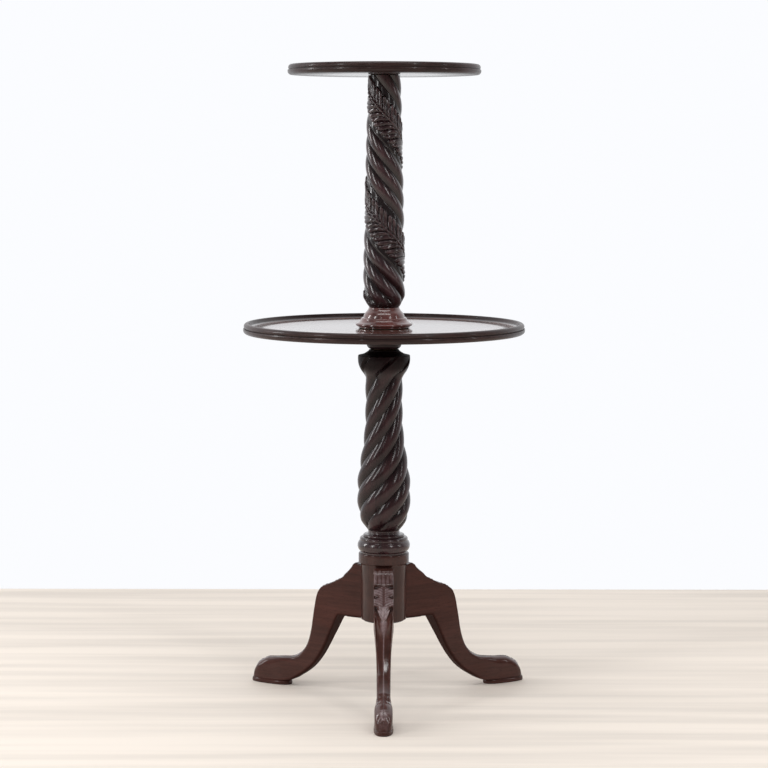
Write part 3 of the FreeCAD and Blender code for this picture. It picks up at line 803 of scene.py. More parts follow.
@dataclass(frozen=True)
class LeafBand:
    """Leaf carving of a winding band: a midrib with paired barbs and scalloped edges."""

    rib_share: float = 0.53
    lobe_pitch: float = 22.43
    lobe_start: float = 20.1
    # The leaf's edges across the band, and how deep lobes and barbs cut into them
    leaf_edges: Pair = (8.0, 64.0)
    lobe_cut: float = 4.0
    barb_cuts: Pair = (2.0, 1.8)
    # Heights over the band's level
    ground: float = -1.5
    ridge: float = 1.9
    lobe_groove: float = 1.1
    curl: float = 1.1
    hollow: float = 0.8
    rib: float = 1.9
    rib_groove: float = 0.9
    # Distances across the band over which the carving rises to its full height
    rising: Pair = (8.0, 19.0)
    # Distances from the rib or from the leaf's edge, with the width of each form
    rib_width: float = 1.5
    rib_groove_place: Pair = (3.3, 1.1)
    hollow_place: Pair = (14.0, 8.0)
    curl_place: Pair = (4.2, 3.4)

    def height(self, across: Array, along: Array, width: float) -> Array:
        """Height of the carving over the band's level.

        The midrib runs along the band at rib_share of its width. Barbs leave it both ways
        and lean up the band, so along + 0.75 d + 9 (1 - exp(-d / 6)) keeps its value on a
        barb under the rib, where d is the distance from the rib. Over it, 9 and 6 are 7 and
        5. That value over the pitch counts the lobes. A lobe has two round barbs, and its
        tips leave the leaf's edge scalloped.

        Args:
            across: Distance from the band's lower edge.
            along: Distance down the band.
            width: The band's width.

        Returns:
            Height in millimetres for each point.
        """
        from_rib = across - self.rib_share * width
        reach = np.abs(from_rib)
        below = from_rib < 0
        bend, fading = np.where(below, 9.0, 7.0), np.where(below, 6, 5)
        lean = 0.75 * reach + bend * (1 - np.exp(-reach / fading))
        count = (along + lean - self.lobe_start) / self.lobe_pitch
        lobe = np.abs(2 * ((count + 0.5) % 1) - 1)
        barb = (2 * ((2 * count) % 1) - 1) ** 2
        gap = self.lobe_cut * lobe ** 3
        low, high = self.leaf_edges
        cut = gap + np.where(below, *self.barb_cuts) * barb
        inside = np.where(below, across - low, high - across) - cut
        ridges = self.ridge * np.sqrt(np.clip(1 - 0.97 * barb, 0, 1))
        ridges = ridges - self.lobe_groove * mound(1 - lobe, 0.15)
        leaf = (ridges * (1 - mound(from_rib, 2.4))
                + self.curl * bell(inside, self.curl_place) * (1 - barb)
                - self.hollow * bell(reach, self.hollow_place)
                + self.rib * mound(from_rib, self.rib_width)
                - self.rib_groove * bell(reach, self.rib_groove_place))
        leaf = leaf * (0.35 + 0.65 * step(*self.rising, across))
        return self.ground + (leaf - self.ground) * step(-1.1, 0.9, inside)


@dataclass
class UpperColumn:
    """Left-handed spiral column: three plain strands and a winding band of leaf carving."""

    base: float = 710.0
    top: float = 1121.0
    lead: float = 200.0
    start_height: float = 899.8
    start_angle: float = -90.0
    plain_columns: int = 66
    band_columns: int = 190
    # Radius at the band's sides and on the band, as a share of the girth's
    groove: float = 0.885
    band_level: float = 0.95
    # Radius that the band's slope, and then the carving's height, are worked out for
    mean_radius: float = 35.5
    drawn_radius: float = 36.0
    carving: LeafBand = LeafBand()
    socket_radius: float = 12.2
    socket_depth: float = 50.5
    pivot_bore: float = 8.3
    pivot_depth: float = 60.5
    girth: Table = (
        (710, 26.3), (714, 29.2), (719, 32.8), (723, 34.6), (732, 37.3), (745, 37.6),
        (758, 37.6), (803, 37.2), (830, 36.2), (901, 34.9), (963, 33.6), (1016, 32.2),
        (1060, 31.2), (1100, 29.8), (1121.0, 29.2))

    def _shaft(self) -> tuple[Array, Array, Array]:
        """Rows of the shaft, with columns that follow the strands.

        A point with share f of a turn and height z is at angle
        start + 360 (f - (z - z0) / lead). On the band, the distance across it is
        lead cos(a) (f - 1/2) and the distance down it is 2 pi R cos(a) f - (z - z0) / sin(a),
        where a is the strands' slope, tan(a) = lead / (2 pi R).

        Returns:
            Angles of the points, the points, and their relief.
        """
        height, radius = shaft_rows(self.girth, self.base, self.top)
        plain = np.linspace(0, 0.5, self.plain_columns, endpoint=False)
        band = np.linspace(0.5, 1.0, self.band_columns, endpoint=False)
        share = np.concatenate([plain, band])[None, :]
        rise = height - self.start_height
        angles = self.start_angle + 360 * (share - rise / self.lead)
        round_it = 2 * math.pi * self.mean_radius
        slope = math.atan2(self.lead, round_it)
        width = self.lead * math.cos(slope) / 2
        across = 2 * width * (share - 0.5)
        along = round_it * math.cos(slope) * share - rise / math.sin(slope)
        sides = np.minimum(step(-0.5, 3.5, across), step(width + 0.5, width - 2.5, across))
        leaf = self.carving.height(across, along, width) * sides
        lobe = strand((share * 360) % 60 - 30)
        on_band = share >= 0.5
        level = self.groove + (self.band_level - self.groove) * sides
        ends = step(self.base + 2, self.base + 14, height)
        section = 1 - ends * (1 - np.where(on_band, level, lobe))
        carving = np.where(on_band, leaf * ends / self.drawn_radius, 0.0)
        # Leaf ridges get high relief as painted highlight; its hollows and the ground at the
        # band's edge get low relief as painted shade. The plain strands get the same by their
        # crests.
        carved = np.clip(0.54 + leaf / 4.2, 0, 1) * step(0.0, 4.0, across)
        relief = np.where(on_band, carved, crest(lobe)) * ends + PLAIN * (1 - ends)
        return angles, polar(radius * (section + carving), angles, height), relief

    def build(self) -> None:
        """Build and dress the column as one closed surface between its two bores."""
        foot = (Outline(self.socket_radius, self.base + self.socket_depth)
                .go(self.socket_radius, self.base, 0, 4).go(26.0, self.base, 0, 2))
        cap = (Outline(27.5, self.top).go(self.pivot_bore, self.top, 0, 2)
               .go(self.pivot_bore, self.top - self.pivot_depth, 0, 4))
        points, relief = capped(foot, cap, *self._shaft(), (PLAIN, PLAIN))
        piece = Surface().add(points, relief).build("upper_column_carved")
        finish_piece(piece, Body.STAND, UPPER_COLUMN, "upper_column")


# Turned pieces


@dataclass
class TurnedPiece:
    """Piece turned round the pillar's axis, with a bore right through.

    Its profile's steps go from the foot round the outside to the top.
    """

    name: str
    node: str
    body: Body
    finish: Finish
    bore: float
    columns: int
    profile: Table

    def build(self) -> None:
        """Build and dress the piece as one closed ring."""
        outline = Outline(self.bore, self.profile[0][1]).follow(self.profile)
        rows = turned(outline.go(self.bore, self.profile[-1][1]), evenly(self.columns))
        finish_piece(Surface().add(rows, loop=True).build(self.name), self.body, self.finish,
                     self.node)


@dataclass
class ColumnFoot(TurnedPiece):
    """Polished foot of the upper column: plinth, ring, small cove, fillet, bell and neck."""

    name: str = "column_foot_bell"
    node: str = "column_foot"
    body: Body = Body.STAND
    finish: Finish = FOOT
    bore: float = 12.2
    columns: int = 160
    profile: Table = (
        (46.0, 674.3), (46.4, 676.7), (49.2, 677.1), (49.6, 682.1, 0.30, 12), (48.0, 682.7),
        (41.4, 688.3, -0.10, 8), (36.8, 691.9, 0.22, 6), (31.6, 702.7, 0.09, 10),
        (27.4, 709.6, -0.07, 6), (27.0, 710.0))


@dataclass
class Boss(TurnedPiece):
    """Turned boss that carries the lower tray on the capital: neck, cove and flange."""

    name: str = "tray_boss_turned"
    node: str = "lower_tray_boss"
    body: Body = Body.LOWER_TIER
    finish: Finish = BOSS
    bore: float = 12.3
    columns: int = 144
    profile: Table = (
        (26.0, 636.0), (31.0, 642.0, 0.10, 5), (44.0, 657.2, -0.22, 12), (61.5, 657.2, 0, 2),
        (64.0, 659.7, 0.207, 5), (64.0, 663.7))


@dataclass
class Hub(TurnedPiece):
    """Turned block that takes the column's tenon and the legs: block, cove and drum."""

    name: str = "hub_turned"
    node: str = "hub"
    body: Body = Body.STAND
    finish: Finish = HUB
    bore: float = 14.2
    columns: int = 144
    profile: Table = (
        (39.8, 145.0), (41.0, 146.2, 0.207, 4), (41.0, 244.5, 0, 6),
        (45.1, 249.5, -0.18, 6), (45.5, 250.3, 0.207, 3), (45.5, 264.5, 0, 2),
        (43.5, 266.5, 0.207, 5))


@dataclass
class Tray:
    """Dished round tray with a raised rim: torus, quirk, bead and inner slope."""

    name: str
    node: str
    body: Body
    base: float
    radius: float
    bore: float
    columns: int = 288
    board: float = 9.3
    plate_radius: float = 25.2
    plate_depth: float = 3.0
    # Rise over the underside and inset from the edge that part the faces for their painted
    # shade and reflection, and the varnish left on two of them
    under_rise: float = 3.5
    quirk_rise: float = 9.4
    quirk_inset: float = 4.0
    under_inset: float = 4.5
    face_inset: float = 14.0
    field_inset: float = 17.0
    rim_shine: float = 0.12
    under_shine: float = 0.75
    # From the tray's radius and underside
    rim: Table = (
        (-5.4, 0.0), (-1.5, 8.7, 0.21, 12), (-3.3, 9.0), (-3.3, 9.8), (-8.5, 18.2, 0.335, 14),
        (-11.0, 17.4, 0.16, 5), (-18.5, 9.5, -0.13, 8), (-19.5, 9.3))

    def _painted_light_and_varnish(self, rows: Array) -> tuple[Array, Array]:
        """Relief and varnish left on each row.

        The board's underside is duller and painted darker as shade, its field is painted lighter
        and warmer as a reflection, the quirk gets a painted shadow line, and the rim has lost
        most of its varnish.

        Args:
            rows: Radius and height of each row.

        Returns:
            Relief and shine, as two columns.
        """
        inset = self.radius - rows[:, :1]
        rise = rows[:, 1:] - self.base
        under = rise < self.under_rise
        quirk = (np.abs(rise - self.quirk_rise) < 0.6) & (inset < self.quirk_inset)
        # A low relief paints a shadow line in the quirk
        relief = np.where(quirk, 0.1, PLAIN)
        # A high relief paints the field lighter and warmer as a reflection
        relief = np.where(~under & (inset > self.field_inset), 0.9, relief)
        # A low relief paints the underside darker as shade
        relief = np.where(under & (inset > self.under_inset), 0.30, relief)
        board_shine = np.where(under, self.under_shine, 1.0)
        return relief, np.where(inset > self.face_inset, board_shine, self.rim_shine)

    def build(self) -> None:
        """Build and dress the tray, with a bore or with a recess for the pivot plate."""
        middle, face = self.radius / 2, self.base + self.board
        outline = Outline(self.bore, self.base)
        if not self.bore:
            recess = self.base + self.plate_depth
            outline = Outline(6.0, recess).go(self.plate_radius, recess)
            outline.go(self.plate_radius, self.base)
        outline.go(middle, self.base).follow(self.rim, self.radius, self.base)
        outline.go(middle, face).go(self.bore or 4.0, face)
        points = turned(outline, evenly(self.columns))
        surface = Surface().add(points, *self._painted_light_and_varnish(outline.points()), loop=bool(self.bore))
        finish_piece(surface.build(self.name, 32.0), self.body, TRAY, self.node)


# Legs


@dataclass(frozen=True)
class KneeCarving:
    """Carving of a knee: a reeded panel, two pairs of curled leaves and a pointed shield.

    Its places are distances down the leg's outer line from the ear.
    """

    panel: Zone = (1.5, 4.0, 33.0, 36.0)
    leaves: Zone = (35.5, 37.5, 94.0, 98.0)
    stem: Zone = (34.0, 38.0, 112.0, 119.0)
    shield_rim: Zone = (96.0, 100.0, 119.0, 123.0)
    shield_start: Pair = (92.0, 96.0)
    shield_end: float = 121.0
    notches: tuple[float, ...] = (38.0, 64.5, 95.0)
    notch_side: float = 15.0
    notch_radius: float = 4.6
    notch_depth: float = 3.6
    shield_half: float = 13.2
    shield_point: float = 28.0
    rim_depth: float = 0.9
    stem_height: float = 1.2
    stem_width: float = 1.5
    reed_pitch: float = 7.2
    finger_pitch: float = 7.4
    vein_pitch: float = 5.6

    def height(self, way: Array, side: Array) -> Array:
        """Height of the carving above its sunk ground.

        From the ear down come a reeded panel, two pairs of curled leaves between drilled
        notches at the edges, and a shield that ends in a point. On the leaves,
        way + 1.15 d - 0.03 d^2, where d is the distance from the stem, counts the fingers.

        Args:
            way: Distance down the outer line from the ear.
            side: Distance from the leg's middle.

        Returns:
            Height in millimetres for each point.
        """
        off = np.abs(side)
        reeds = 0.9 + 0.8 * np.abs(np.cos(math.pi * side / self.reed_pitch)) ** 0.7
        finger = 2 * (((way + 1.15 * off - 0.03 * off ** 2) / self.finger_pitch) % 1) - 1
        fan = (0.2 + 2.2 * np.sqrt(1 - 0.97 * finger ** 2)) * (1 - mound(side, 2.2))
        point = np.clip((self.shield_end - way) / self.shield_point, 0, 1)
        edge = off - self.shield_half * point ** 0.62
        veins = 1.7 + 0.35 * np.cos(2 * math.pi * (way + 1.1 * off) / self.vein_pitch)
        drilled = sum(mound(np.hypot(way - centre, 0.7 * (off - self.notch_side)),
                            self.notch_radius) for centre in self.notches)
        return (reeds * within(way, self.panel) + fan * within(way, self.leaves)
                + veins * step(0.5, -0.5, edge) * step(*self.shield_start, way)
                - self.rim_depth * mound(edge - 1.4, 1.0) * within(way, self.shield_rim)
                + self.stem_height * mound(side, self.stem_width) * within(way, self.stem)
                - self.notch_depth * np.clip(drilled, 0, 1))


@dataclass
class Leg:
    """Cabriole leg with a carved knee, an arris down the shin and a slipper foot on its sole."""

    name: str
    node: str
    angle: float
    reach: float
    rows: int = 330
    drawn_reach: float = 281.0
    ear_radius: float = 53.0
    sunk_depth: float = 1.2
    arris_width: float = 1.8
    toe_vein_pitch: float = 4.2
    carving: KneeCarving = KneeCarving()
    # Radii over which the shank turns into the foot and its lower edges grow sharper, and
    # heights over which corners soften
    ankle: Pair = (205.0, 240.0)
    sharpening: Pair = (200.0, 225.0)
    softening: Pair = (150.0, 90.0)
    # Depths behind the outer face over which the carving dies out, on the shank and on the
    # foot, and the width over which it does so at the sides
    face_depth: Pair = (0.75, 0.15)
    foot_face_depth: Pair = (7.0, 3.0)
    face_edge: float = 1.8
    # Distances down the outer line from the ear; among them are where the shield and shin get
    # painted sheen, the arris a painted highlight, and the shin's flanks painted shade
    sunk: Zone = (32.0, 38.0, 118.0, 126.0)
    carved: Zone = (2.0, 6.0, 118.0, 126.0)
    sheen_zone: Zone = (100.0, 114.0, 132.0, 160.0)
    shin_start: Pair = (98.0, 126.0)
    shin_narrowing: Pair = (138.0, 176.0)
    arris_highlight: Pair = (134.0, 160.0)
    flank_shade: Pair = (118.0, 128.0)
    varnish_kept: Pair = (130.0, 180.0)
    # Points in a corner, then over the outer face, down a side and under
    corner_points: int = 7
    face_points: tuple[int, ...] = (62, 24, 18)
    # Half width of the shin's flat at distances down the outer line
    flat: Table = ((106.0, 15.2), (120.0, 11.5), (152.0, 1.2), (170.0, 0.4))
    toe_share: float = 0.948
    toe_half: Pair = (11.5, 6.6)
    sole_inset: float = 42.0
    sole_half: Pair = (41.5, 17.0)
    sole_power: float = 2.6
    # Height and widening of the sole's rows
    sole: Table = ((0.0, -0.9), (0.8, -0.1), (2.2, 0.0), (5.4, -0.3), (7.2, -1.0),
                   (8.2, -2.4), (8.4, -4.5))
    # Radius and height of the outer line, radius and height of the inner line, half width
    stations: Table = (
        (36, 241.5, 36, 145, 17.8), (44, 244.0, 44, 145, 17.8), (49, 245.4, 51, 145, 17.8),
        (52.8, 243.6, 56, 145, 17.8), (58.4, 235, 61, 145, 17.8), (67.4, 225.1, 70, 145, 17.8),
        (83.8, 212.2, 80, 145, 17.8), (99.8, 204.1, 86, 144.5, 17.8),
        (114.6, 197.8, 88.5, 142, 17.7), (127, 189.2, 91, 138, 17.2),
        (134.3, 173.6, 95.5, 129.3, 16.1), (138.8, 154.5, 101, 118, 14.9),
        (143.9, 130.5, 107.5, 104.5, 13.7), (150.3, 104.2, 115.8, 86.7, 12.8),
        (159, 81, 129.3, 63.5, 12.3), (173.4, 62.7, 148.9, 39.5, 12.1),
        (193.9, 52.9, 172.8, 21.6, 12.0), (219.2, 50.3, 196.7, 9.6, 13.2),
        (242.2, 48.5, 230, 7, 15.8), (259.9, 40.2, 255, 7, 15.6),
        (271.2, 27.4, 270, 7, 12.6), (276.0, 13, 277, 7, 6.5))

    def _spine(self) -> Array:
        """Stations read at even steps along the leg.

        A radius r grows by r (reach / drawn reach - 1), and by less near the ear.

        Returns:
            One row for each section, in the stations' own columns.
        """
        table = np.array(self.stations)
        radius = table[:, [0, 2]]
        share = np.clip((radius - self.ear_radius) / 17.0, 0, 1)
        table[:, [0, 2]] = radius * (1 + share * (self.reach / self.drawn_reach - 1))
        way = walked(table[:, 0:2], table[:, 2:4])
        return smooth(way, table, np.linspace(0, way[-1], self.rows))

    def _section(self, depth: Array, half: Array, outer: Array,
                 inner: Array) -> tuple[Array, Array]:
        """Rounded rectangle for each row, walked round from one side over the outer face.

        Corners are quarter circles, and the faces between them are straight.

        Args:
            depth: Distance from the outer line to the inner one.
            half: Half width.
            outer: Corner radius at the outer face.
            inner: Corner radius at the inner face.

        Returns:
            Distance in from the outer line and distance sideways, rows by columns.
        """
        corner = np.linspace(0, math.pi / 2, self.corner_points)[None, :]
        sine, cosine = np.sin(corner), np.cos(corner)
        face, side, under = (np.linspace(0, 1, count)[None, 1:-1] for count in self.face_points)
        flat, low = half - outer, half - inner
        parts = [
            (outer - outer * sine, flat + outer * cosine),
            (0 * face + 0 * outer, flat - 2 * flat * face),
            (outer - outer * cosine, -flat - outer * sine),
            (outer + (depth - inner - outer) * side, -half + 0 * side),
            (depth - inner + inner * sine, -low - inner * cosine),
            (depth + 0 * under, -low + 2 * low * under),
            (depth - inner + inner * cosine, low + inner * sine),
            (depth - inner + (outer + inner - depth) * side, half + 0 * side),
        ]
        deep, sideways = (np.concatenate(rows, axis=1) for rows in zip(*parts))
        return deep, sideways

    def _shin(self, way: Array, side: Array, half: Array) -> Array:
        """Height of the flat under the knee, whose sides close to an arris down the shin.

        Past the flat, whose half width is flat, it falls as (half - |side|) / (half - flat).
        The sides fall 6 mm at the knee and 3.6 mm at the ankle.

        Args:
            way: Distance down the outer line from the ear.
            side: Distance from the leg's middle.
            half: The leg's half width.

        Returns:
            Height in millimetres for each point.
        """
        flat = np.minimum(np.interp(way, *np.array(self.flat).T), half - 0.6)
        slope = np.clip((half - np.abs(side)) / (half - flat), 0, 1)
        fall = 6.0 - 2.4 * step(*self.shin_narrowing, way)
        return (fall * (slope - 1) + 1.8) * step(*self.shin_start, way)

    def _toe(self, distance: Array, along: Array, side: Array) -> Array:
        """Height of the oval leaf on the toe, by distance, way and side from its middle."""
        veins = np.abs(np.sin(math.pi * (along - 0.9 * np.abs(side)) / self.toe_vein_pitch))
        return step(1.04, 0.9, distance) * (1.3 + 0.25 * veins - 0.7 * mound(side, 0.9))

    def _corners(self, outer: Array, depth: Array, half: Array) -> tuple[Array, Array]:
        """Corner radii of each row, softer down the shin and round at the foot.

        Args:
            outer: Radius and height of the outer line.
            depth: Distance from the outer line to the inner one.
            half: Half width.

        Returns:
            Corner radius at the outer face and at the inner face.
        """
        radius, height = outer[:, :1], outer[:, 1:]
        foot = step(*self.ankle, radius)
        shank = 1 - foot
        thin = step(*self.softening, height)
        limit = 0.44 * np.minimum(depth, half * 1.6)
        soft = np.minimum(2.0 + 4.6 * thin * shank, limit) * shank
        soft = soft + foot * np.minimum(0.86 * half, 0.6 * depth)
        under = 1.2 + 3.6 * thin - 2.0 * step(*self.sharpening, radius)
        return soft, np.minimum(under, limit)

    def _upper(self) -> tuple[Array, Array, Array]:
        """Points of the leg above its sole, pointing to +X, with their relief and shine.

        Returns:
            Rows by columns by x, y, z, then the relief and the shine.
        """
        spine = self._spine()
        outer, inner, half = spine[:, 0:2], spine[:, 2:4], spine[:, 4:5]
        across = inner - outer
        depth = np.hypot(*across.T)[:, None]
        total = walked(outer)
        ear, toe_middle = np.interp([self.ear_radius, self.toe_share * self.reach],
                                    outer[:, 0], total)
        way, along = total[:, None] - ear, total[:, None] - toe_middle
        foot = step(*self.ankle, outer[:, :1])
        shank = 1 - foot
        deep, side = self._section(depth, half, *self._corners(outer, depth, half))
        # Carving, lifted off the outer face
        face = step(*self.face_depth, deep) * step(half, half - self.face_edge, np.abs(side))
        face = np.maximum(face, foot * step(*self.foot_face_depth, deep))
        oval = np.hypot(along / self.toe_half[0], side / self.toe_half[1])
        knee = self.carving.height(way, side)
        toe = self._toe(oval, along, side) * foot
        lift = face * (knee - self.sunk_depth * within(way, self.sunk)
                       + self._shin(way, side, half) * shank + toe)
        place = outer[:, None, :] + across[:, None, :] / depth[:, None] * (deep - lift)[..., None]
        points = np.stack([place[..., 0], side, place[..., 1]], axis=-1)
        # Painted sheen on the carving's crests, the toe's leaf, the foot, the shield, the shin
        # and the arris, painted shade in the carving's hollows, on the shin's flanks and
        # underneath, and lost varnish underneath
        arris = mound(side, self.arris_width)
        on_toe = step(1.1, 0.95, oval) * foot
        carved = face * np.maximum(within(way, self.carved), on_toe)
        # The carving's crests and the toe's leaf are painted lighter as reflection, and its
        # hollows and drilled notches darker as shade
        relief = PLAIN + carved * (np.clip(0.25 + (knee + 1.7 * toe) / 2.5, 0, 1) - PLAIN)
        # The shield and shin's middle and the foot are painted lighter as sheen, the arris gets a
        # painted highlight line, and the shin's flanks painted shade
        wear_and_sheen = np.maximum(within(way, self.sheen_zone) * mound(side, 8.0), 0.15 * foot * (1 - on_toe))
        relief = relief + face * (0.3 * step(*self.arris_highlight, way) * shank * arris + 0.6 * wear_and_sheen
                                  - 0.25 * step(*self.flank_shade, way) * shank * (1 - arris))
        least = np.maximum(0.35 * foot, 0.2 * step(*self.varnish_kept, way))
        shine = 0.3 + 0.7 * np.maximum(face * step(0.05, 0.5, relief), least)
        # The underside is painted darker as shade and loses varnish
        below = step(7.0, 1.0, depth - deep) * shank
        return points, np.clip(relief * (1 - 0.75 * below), 0, 1), shine * (1 - 0.9 * below)

    def _sole(self) -> Array:
        """Points of the sole: a long round-ended slab, a little wider at the floor.

        Its plan is |x / a|^n + |y / b|^n = 1 about its middle, where n is sole_power.

        Returns:
            Rows by columns by x, y, z.
        """
        height, spread = np.array(self.sole).T[..., None]
        angle = np.radians(evenly(96))
        x, y = (np.sign(part) * np.abs(part) ** (2 / self.sole_power)
                for part in (np.cos(angle), np.sin(angle)))
        return np.stack([self.reach - self.sole_inset + (self.sole_half[0] + spread) * x,
                         (self.sole_half[1] + spread) * y, height + 0 * x], axis=-1)

    def build(self) -> None:
        """Build and dress the leg, turned to its place round the pillar."""
        upper, relief, shine = self._upper()
        spin = math.radians(self.angle)
        turn = np.array([[math.cos(spin), math.sin(spin), 0],
                         [-math.sin(spin), math.cos(spin), 0], [0, 0, 1]])
        surface = Surface().add(upper @ turn, relief, shine).add(self._sole() @ turn, PLAIN, 0.5)
        finish_piece(surface.build(self.name, 50.0), Body.STAND, leg_finish(self.angle),
                     self.node)


# Screws


@dataclass
class ScrewGroup:
    """Slotted wood screws driven up from below, evenly round a circle."""

    name: str
    node: str
    body: Body
    circle: float
    head_height: float
    length: float
    first_angle: float
    head_radius: float = 4.2
    radius: float = 2.2
    thread_pitch: float = 1.5
    thread_depth: float = 0.5
    slot_half: float = 0.5
    slot_depth: float = 1.0
    count: int = 3
    columns: int = 40

    def _screw(self, angle: float) -> Array:
        """One screw: head with a slot, cone, and shank with a thread.

        The thread takes its depth from the share of a turn by which height over pitch
        leads the angle round the screw.

        Args:
            angle: Its place round the pillar.

        Returns:
            Rows by columns by x, y, z.
        """
        outline = (Outline(0.25, 0.35).go(self.head_radius - 0.3, 0.0, 0, 12)
                   .go(self.head_radius, 0.25).go(self.radius, 2.2, 0, 2)
                   .go(self.radius, self.length - 4.0, 0, 60).go(0.3, self.length, 0, 8))
        points = turned(outline, evenly(self.columns))
        rise = points[..., 2]
        spin = np.arctan2(points[..., 1], points[..., 0])
        worm = (rise / self.thread_pitch - spin / (2 * math.pi)) % 1
        threaded = step(self.length * 0.35, self.length * 0.45, rise)
        cut = self.thread_depth * step(0.0, 0.5, np.abs(2 * worm - 1)) * threaded
        points[..., :2] *= (1 - cut / self.radius)[..., None]
        slot = (np.abs(points[..., 0]) < self.slot_half) & (rise < 0.4)
        points[..., 2] = np.where(slot, self.slot_depth, rise)
        return points + polar(self.circle, angle, self.head_height)

    def build(self) -> None:
        """Build and dress the group as one piece."""
        surface = Surface()
        for index in range(self.count):
            surface.add(self._screw(self.first_angle + index * 360.0 / self.count))
        finish_piece(surface.build(self.name, 35.0), self.body, STEEL, self.node)


# Studio


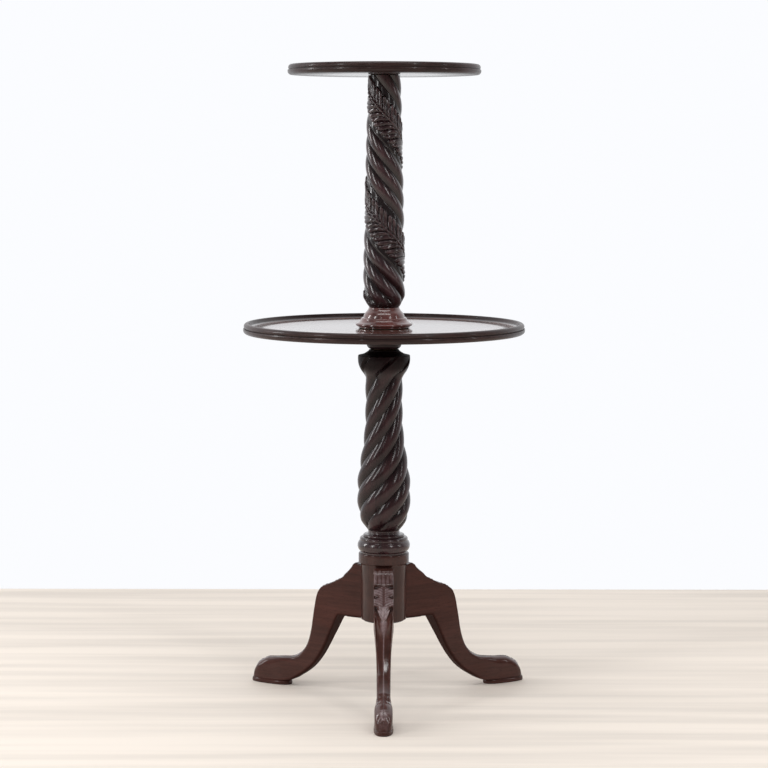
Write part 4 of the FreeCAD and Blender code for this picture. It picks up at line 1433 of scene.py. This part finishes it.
@dataclass
class Studio:
    """Camera, plain floor, pale room, tall windows round the front and a strip overhead."""

    lens: float = 109.8
    camera_place: Place = (0.0, -4.1802, 1.0014)
    pitch: float = 5.867
    roll: float = 0.08
    floor_end: float = 1.033
    floor_half: float = 7.0
    floor_light: Colour = (0.936, 0.8528, 0.7696)
    floor_shade: Colour = (0.801, 0.7298, 0.6586)
    wall_colour: Colour = (0.965, 0.975, 1.0)
    room_colour: Colour = (1.0, 0.99, 0.98)
    front_level: float = 0.16
    wall_level: float = 1.0
    wall_reach: Pair = (0.0, 0.45)
    ceiling_level: float = 0.95
    ceiling_reach: Pair = (0.76, 0.95)
    side_level: float = 0.4
    side_reach: Pair = (0.6, 0.95)
    aim: Place = (0.0, 0.0, 0.7)
    # Azimuth from the camera's side, distance, height, width, length and power of each window
    windows: tuple[tuple[float, ...], ...] = (
        (-96.0, 3.4, 1.6, 0.40, 1.6, 30.0), (-53.0, 3.6, 1.8, 0.44, 1.8, 32.0),
        (-18.0, 3.6, 1.9, 0.14, 1.1, 4.0), (36.0, 3.6, 2.1, 0.26, 1.4, 18.0),
        (76.0, 3.4, 1.6, 0.16, 1.6, 9.0), (0.0, 1.2, 3.2, 3.2, 0.7, 30.0))

    def camera(self) -> None:
        """Place the camera level with the trays, looking a little down."""
        data = bpy.data.cameras.new("camera")
        data.lens = self.lens
        data.sensor_width = 36.0
        camera = put("camera", data)
        look = Matrix.Rotation(math.radians(90.0 - self.pitch), 4, "X")
        tilt = Matrix.Rotation(math.radians(self.roll), 4, "Z")
        camera.matrix_world = Matrix.Translation(self.camera_place) @ look @ tilt
        bpy.context.scene.camera = camera

    def floor(self) -> None:
        """Lay a plain pale floor that ends where the wall stands."""
        mesh = bpy.data.meshes.new("floor")
        half, end = self.floor_half, self.floor_end
        mesh.from_pydata([(-half, -half, 0), (half, -half, 0), (half, end, 0), (-half, end, 0)],
                         [], [(0, 1, 2, 3)])
        floor = put("floor", mesh)
        shader = Shader("pale_floor")
        streaks = shader.noise(shader.place(0.0, (0.055, 1.0, 1.0)), 18.0)
        tone = shader.spread(streaks, 0.33, 0.60)
        shader.set(Base_Color=shader.mix(tone, self.floor_shade, self.floor_light),
                   Roughness=0.6, Specular_IOR_Level=0.2)
        mesh.materials.append(shader.material)

    def world(self) -> None:
        """White wall behind the stand, pale ceiling, and a dim room in front and at the sides.

        A direction's level is the highest of four: the wall's, which grows with y, the
        ceiling's, which grows with z, the left side's, which grows with -x, and the room's.
        The camera sees the wall's white all round, and gloss and glass see it behind.
        """
        world = bpy.data.worlds.new("studio")
        world.use_nodes = True
        bpy.context.scene.world = world
        world.node_tree.nodes.clear()
        tree = Tree(world.node_tree)
        place = tree.add("ShaderNodeTexCoord").outputs["Generated"]
        x, y, z = tree.add("ShaderNodeSeparateXYZ", {0: place}).outputs
        wall = tree.spread(y, *self.wall_reach, 0.0, self.wall_level)
        ceiling = tree.spread(z, *self.ceiling_reach, 0.0, self.ceiling_level)
        side = tree.spread(tree.times(x, -1.0), *self.side_reach, 0.0, self.side_level)
        level = tree.compute("MAXIMUM", tree.compute("MAXIMUM", wall, ceiling),
                         tree.compute("MAXIMUM", side, self.front_level))
        seen = tree.add("ShaderNodeBackground", {0: self.wall_colour})
        room = tree.add("ShaderNodeBackground", {0: self.room_colour, 1: level})
        path = tree.add("ShaderNodeLightPath").outputs
        mirrored = tree.compute("MAXIMUM", path["Is Glossy Ray"], path["Is Transmission Ray"])
        behind = tree.times(mirrored, tree.spread(y, *self.wall_reach))
        share = tree.compute("MAXIMUM", path["Is Camera Ray"], behind)
        mix = tree.add("ShaderNodeMixShader", {0: share, 1: room.outputs[0], 2: seen.outputs[0]})
        tree.add("ShaderNodeOutputWorld", {0: mix.outputs[0]})

    def light(self) -> None:
        """Hang the windows as area lamps that face the middle of the pillar."""
        for index, (azimuth, reach, height, width, length, power) in enumerate(self.windows):
            data = bpy.data.lights.new("window_%d" % index, "AREA")
            data.shape = "RECTANGLE"
            data.size, data.size_y, data.energy = width, length, power
            lamp = put("window_%d" % index, data)
            spin = math.radians(azimuth)
            place = Vector((reach * math.sin(spin), -reach * math.cos(spin), height))
            aim = Vector(self.aim) - place
            lamp.matrix_world = (Matrix.Translation(place)
                                 @ aim.to_track_quat("-Z", "Y").to_matrix().to_4x4())

    def build(self) -> None:
        """Set up the whole studio."""
        bpy.context.scene.view_settings.view_transform = "Standard"
        self.camera()
        self.floor()
        self.world()
        self.light()


def main() -> None:
    """Build every sub-assembly in order."""
    logging.basicConfig(level=logging.INFO, format="%(message)s")
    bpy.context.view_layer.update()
    Studio().build()
    Hub().build()
    for name, angle, reach in (("front", -90.0, 291.0), ("right", 30.0, 300.0),
                               ("left", 150.0, 282.0)):
        Leg("leg_%s_carved" % name, "leg_%s" % name, angle, reach).build()
    LowerColumn().build()
    Boss().build()
    Tray("lower_tray_dished", "lower_tray", Body.LOWER_TIER, base=663.7, radius=253.0,
         bore=12.3).build()
    ColumnFoot().build()
    UpperColumn().build()
    Tray("upper_tray_dished", "upper_tray", Body.UPPER_TIER, base=1122.1, radius=172.5,
         bore=0.0).build()
    for node, body, circle, head, length, first in (
            ("leg_screws", Body.STAND, 66.0, 142.5, 22.0, -90.0),
            ("hub_screws", Body.STAND, 28.0, 142.5, 22.0, 90.0),
            ("boss_screws", Body.LOWER_TIER, 54.0, 657.2, 12.5, 0.0),
            ("pivot_plate_screws", Body.UPPER_TIER, 17.5, 1122.1, 8.0, 0.0)):
        ScrewGroup(node + "_slotted", node, body, circle, head, length, first).build()
    for node, finish in (("leg_plate", IRON), ("pivot_plate", IRON), ("lower_washer", BRASS),
                         ("upper_washer", BRASS), ("foot_felt", FELT), ("centre_dowel", DOWEL)):
        dress_node(node, finish)


if __name__ == "__main__":
    main()
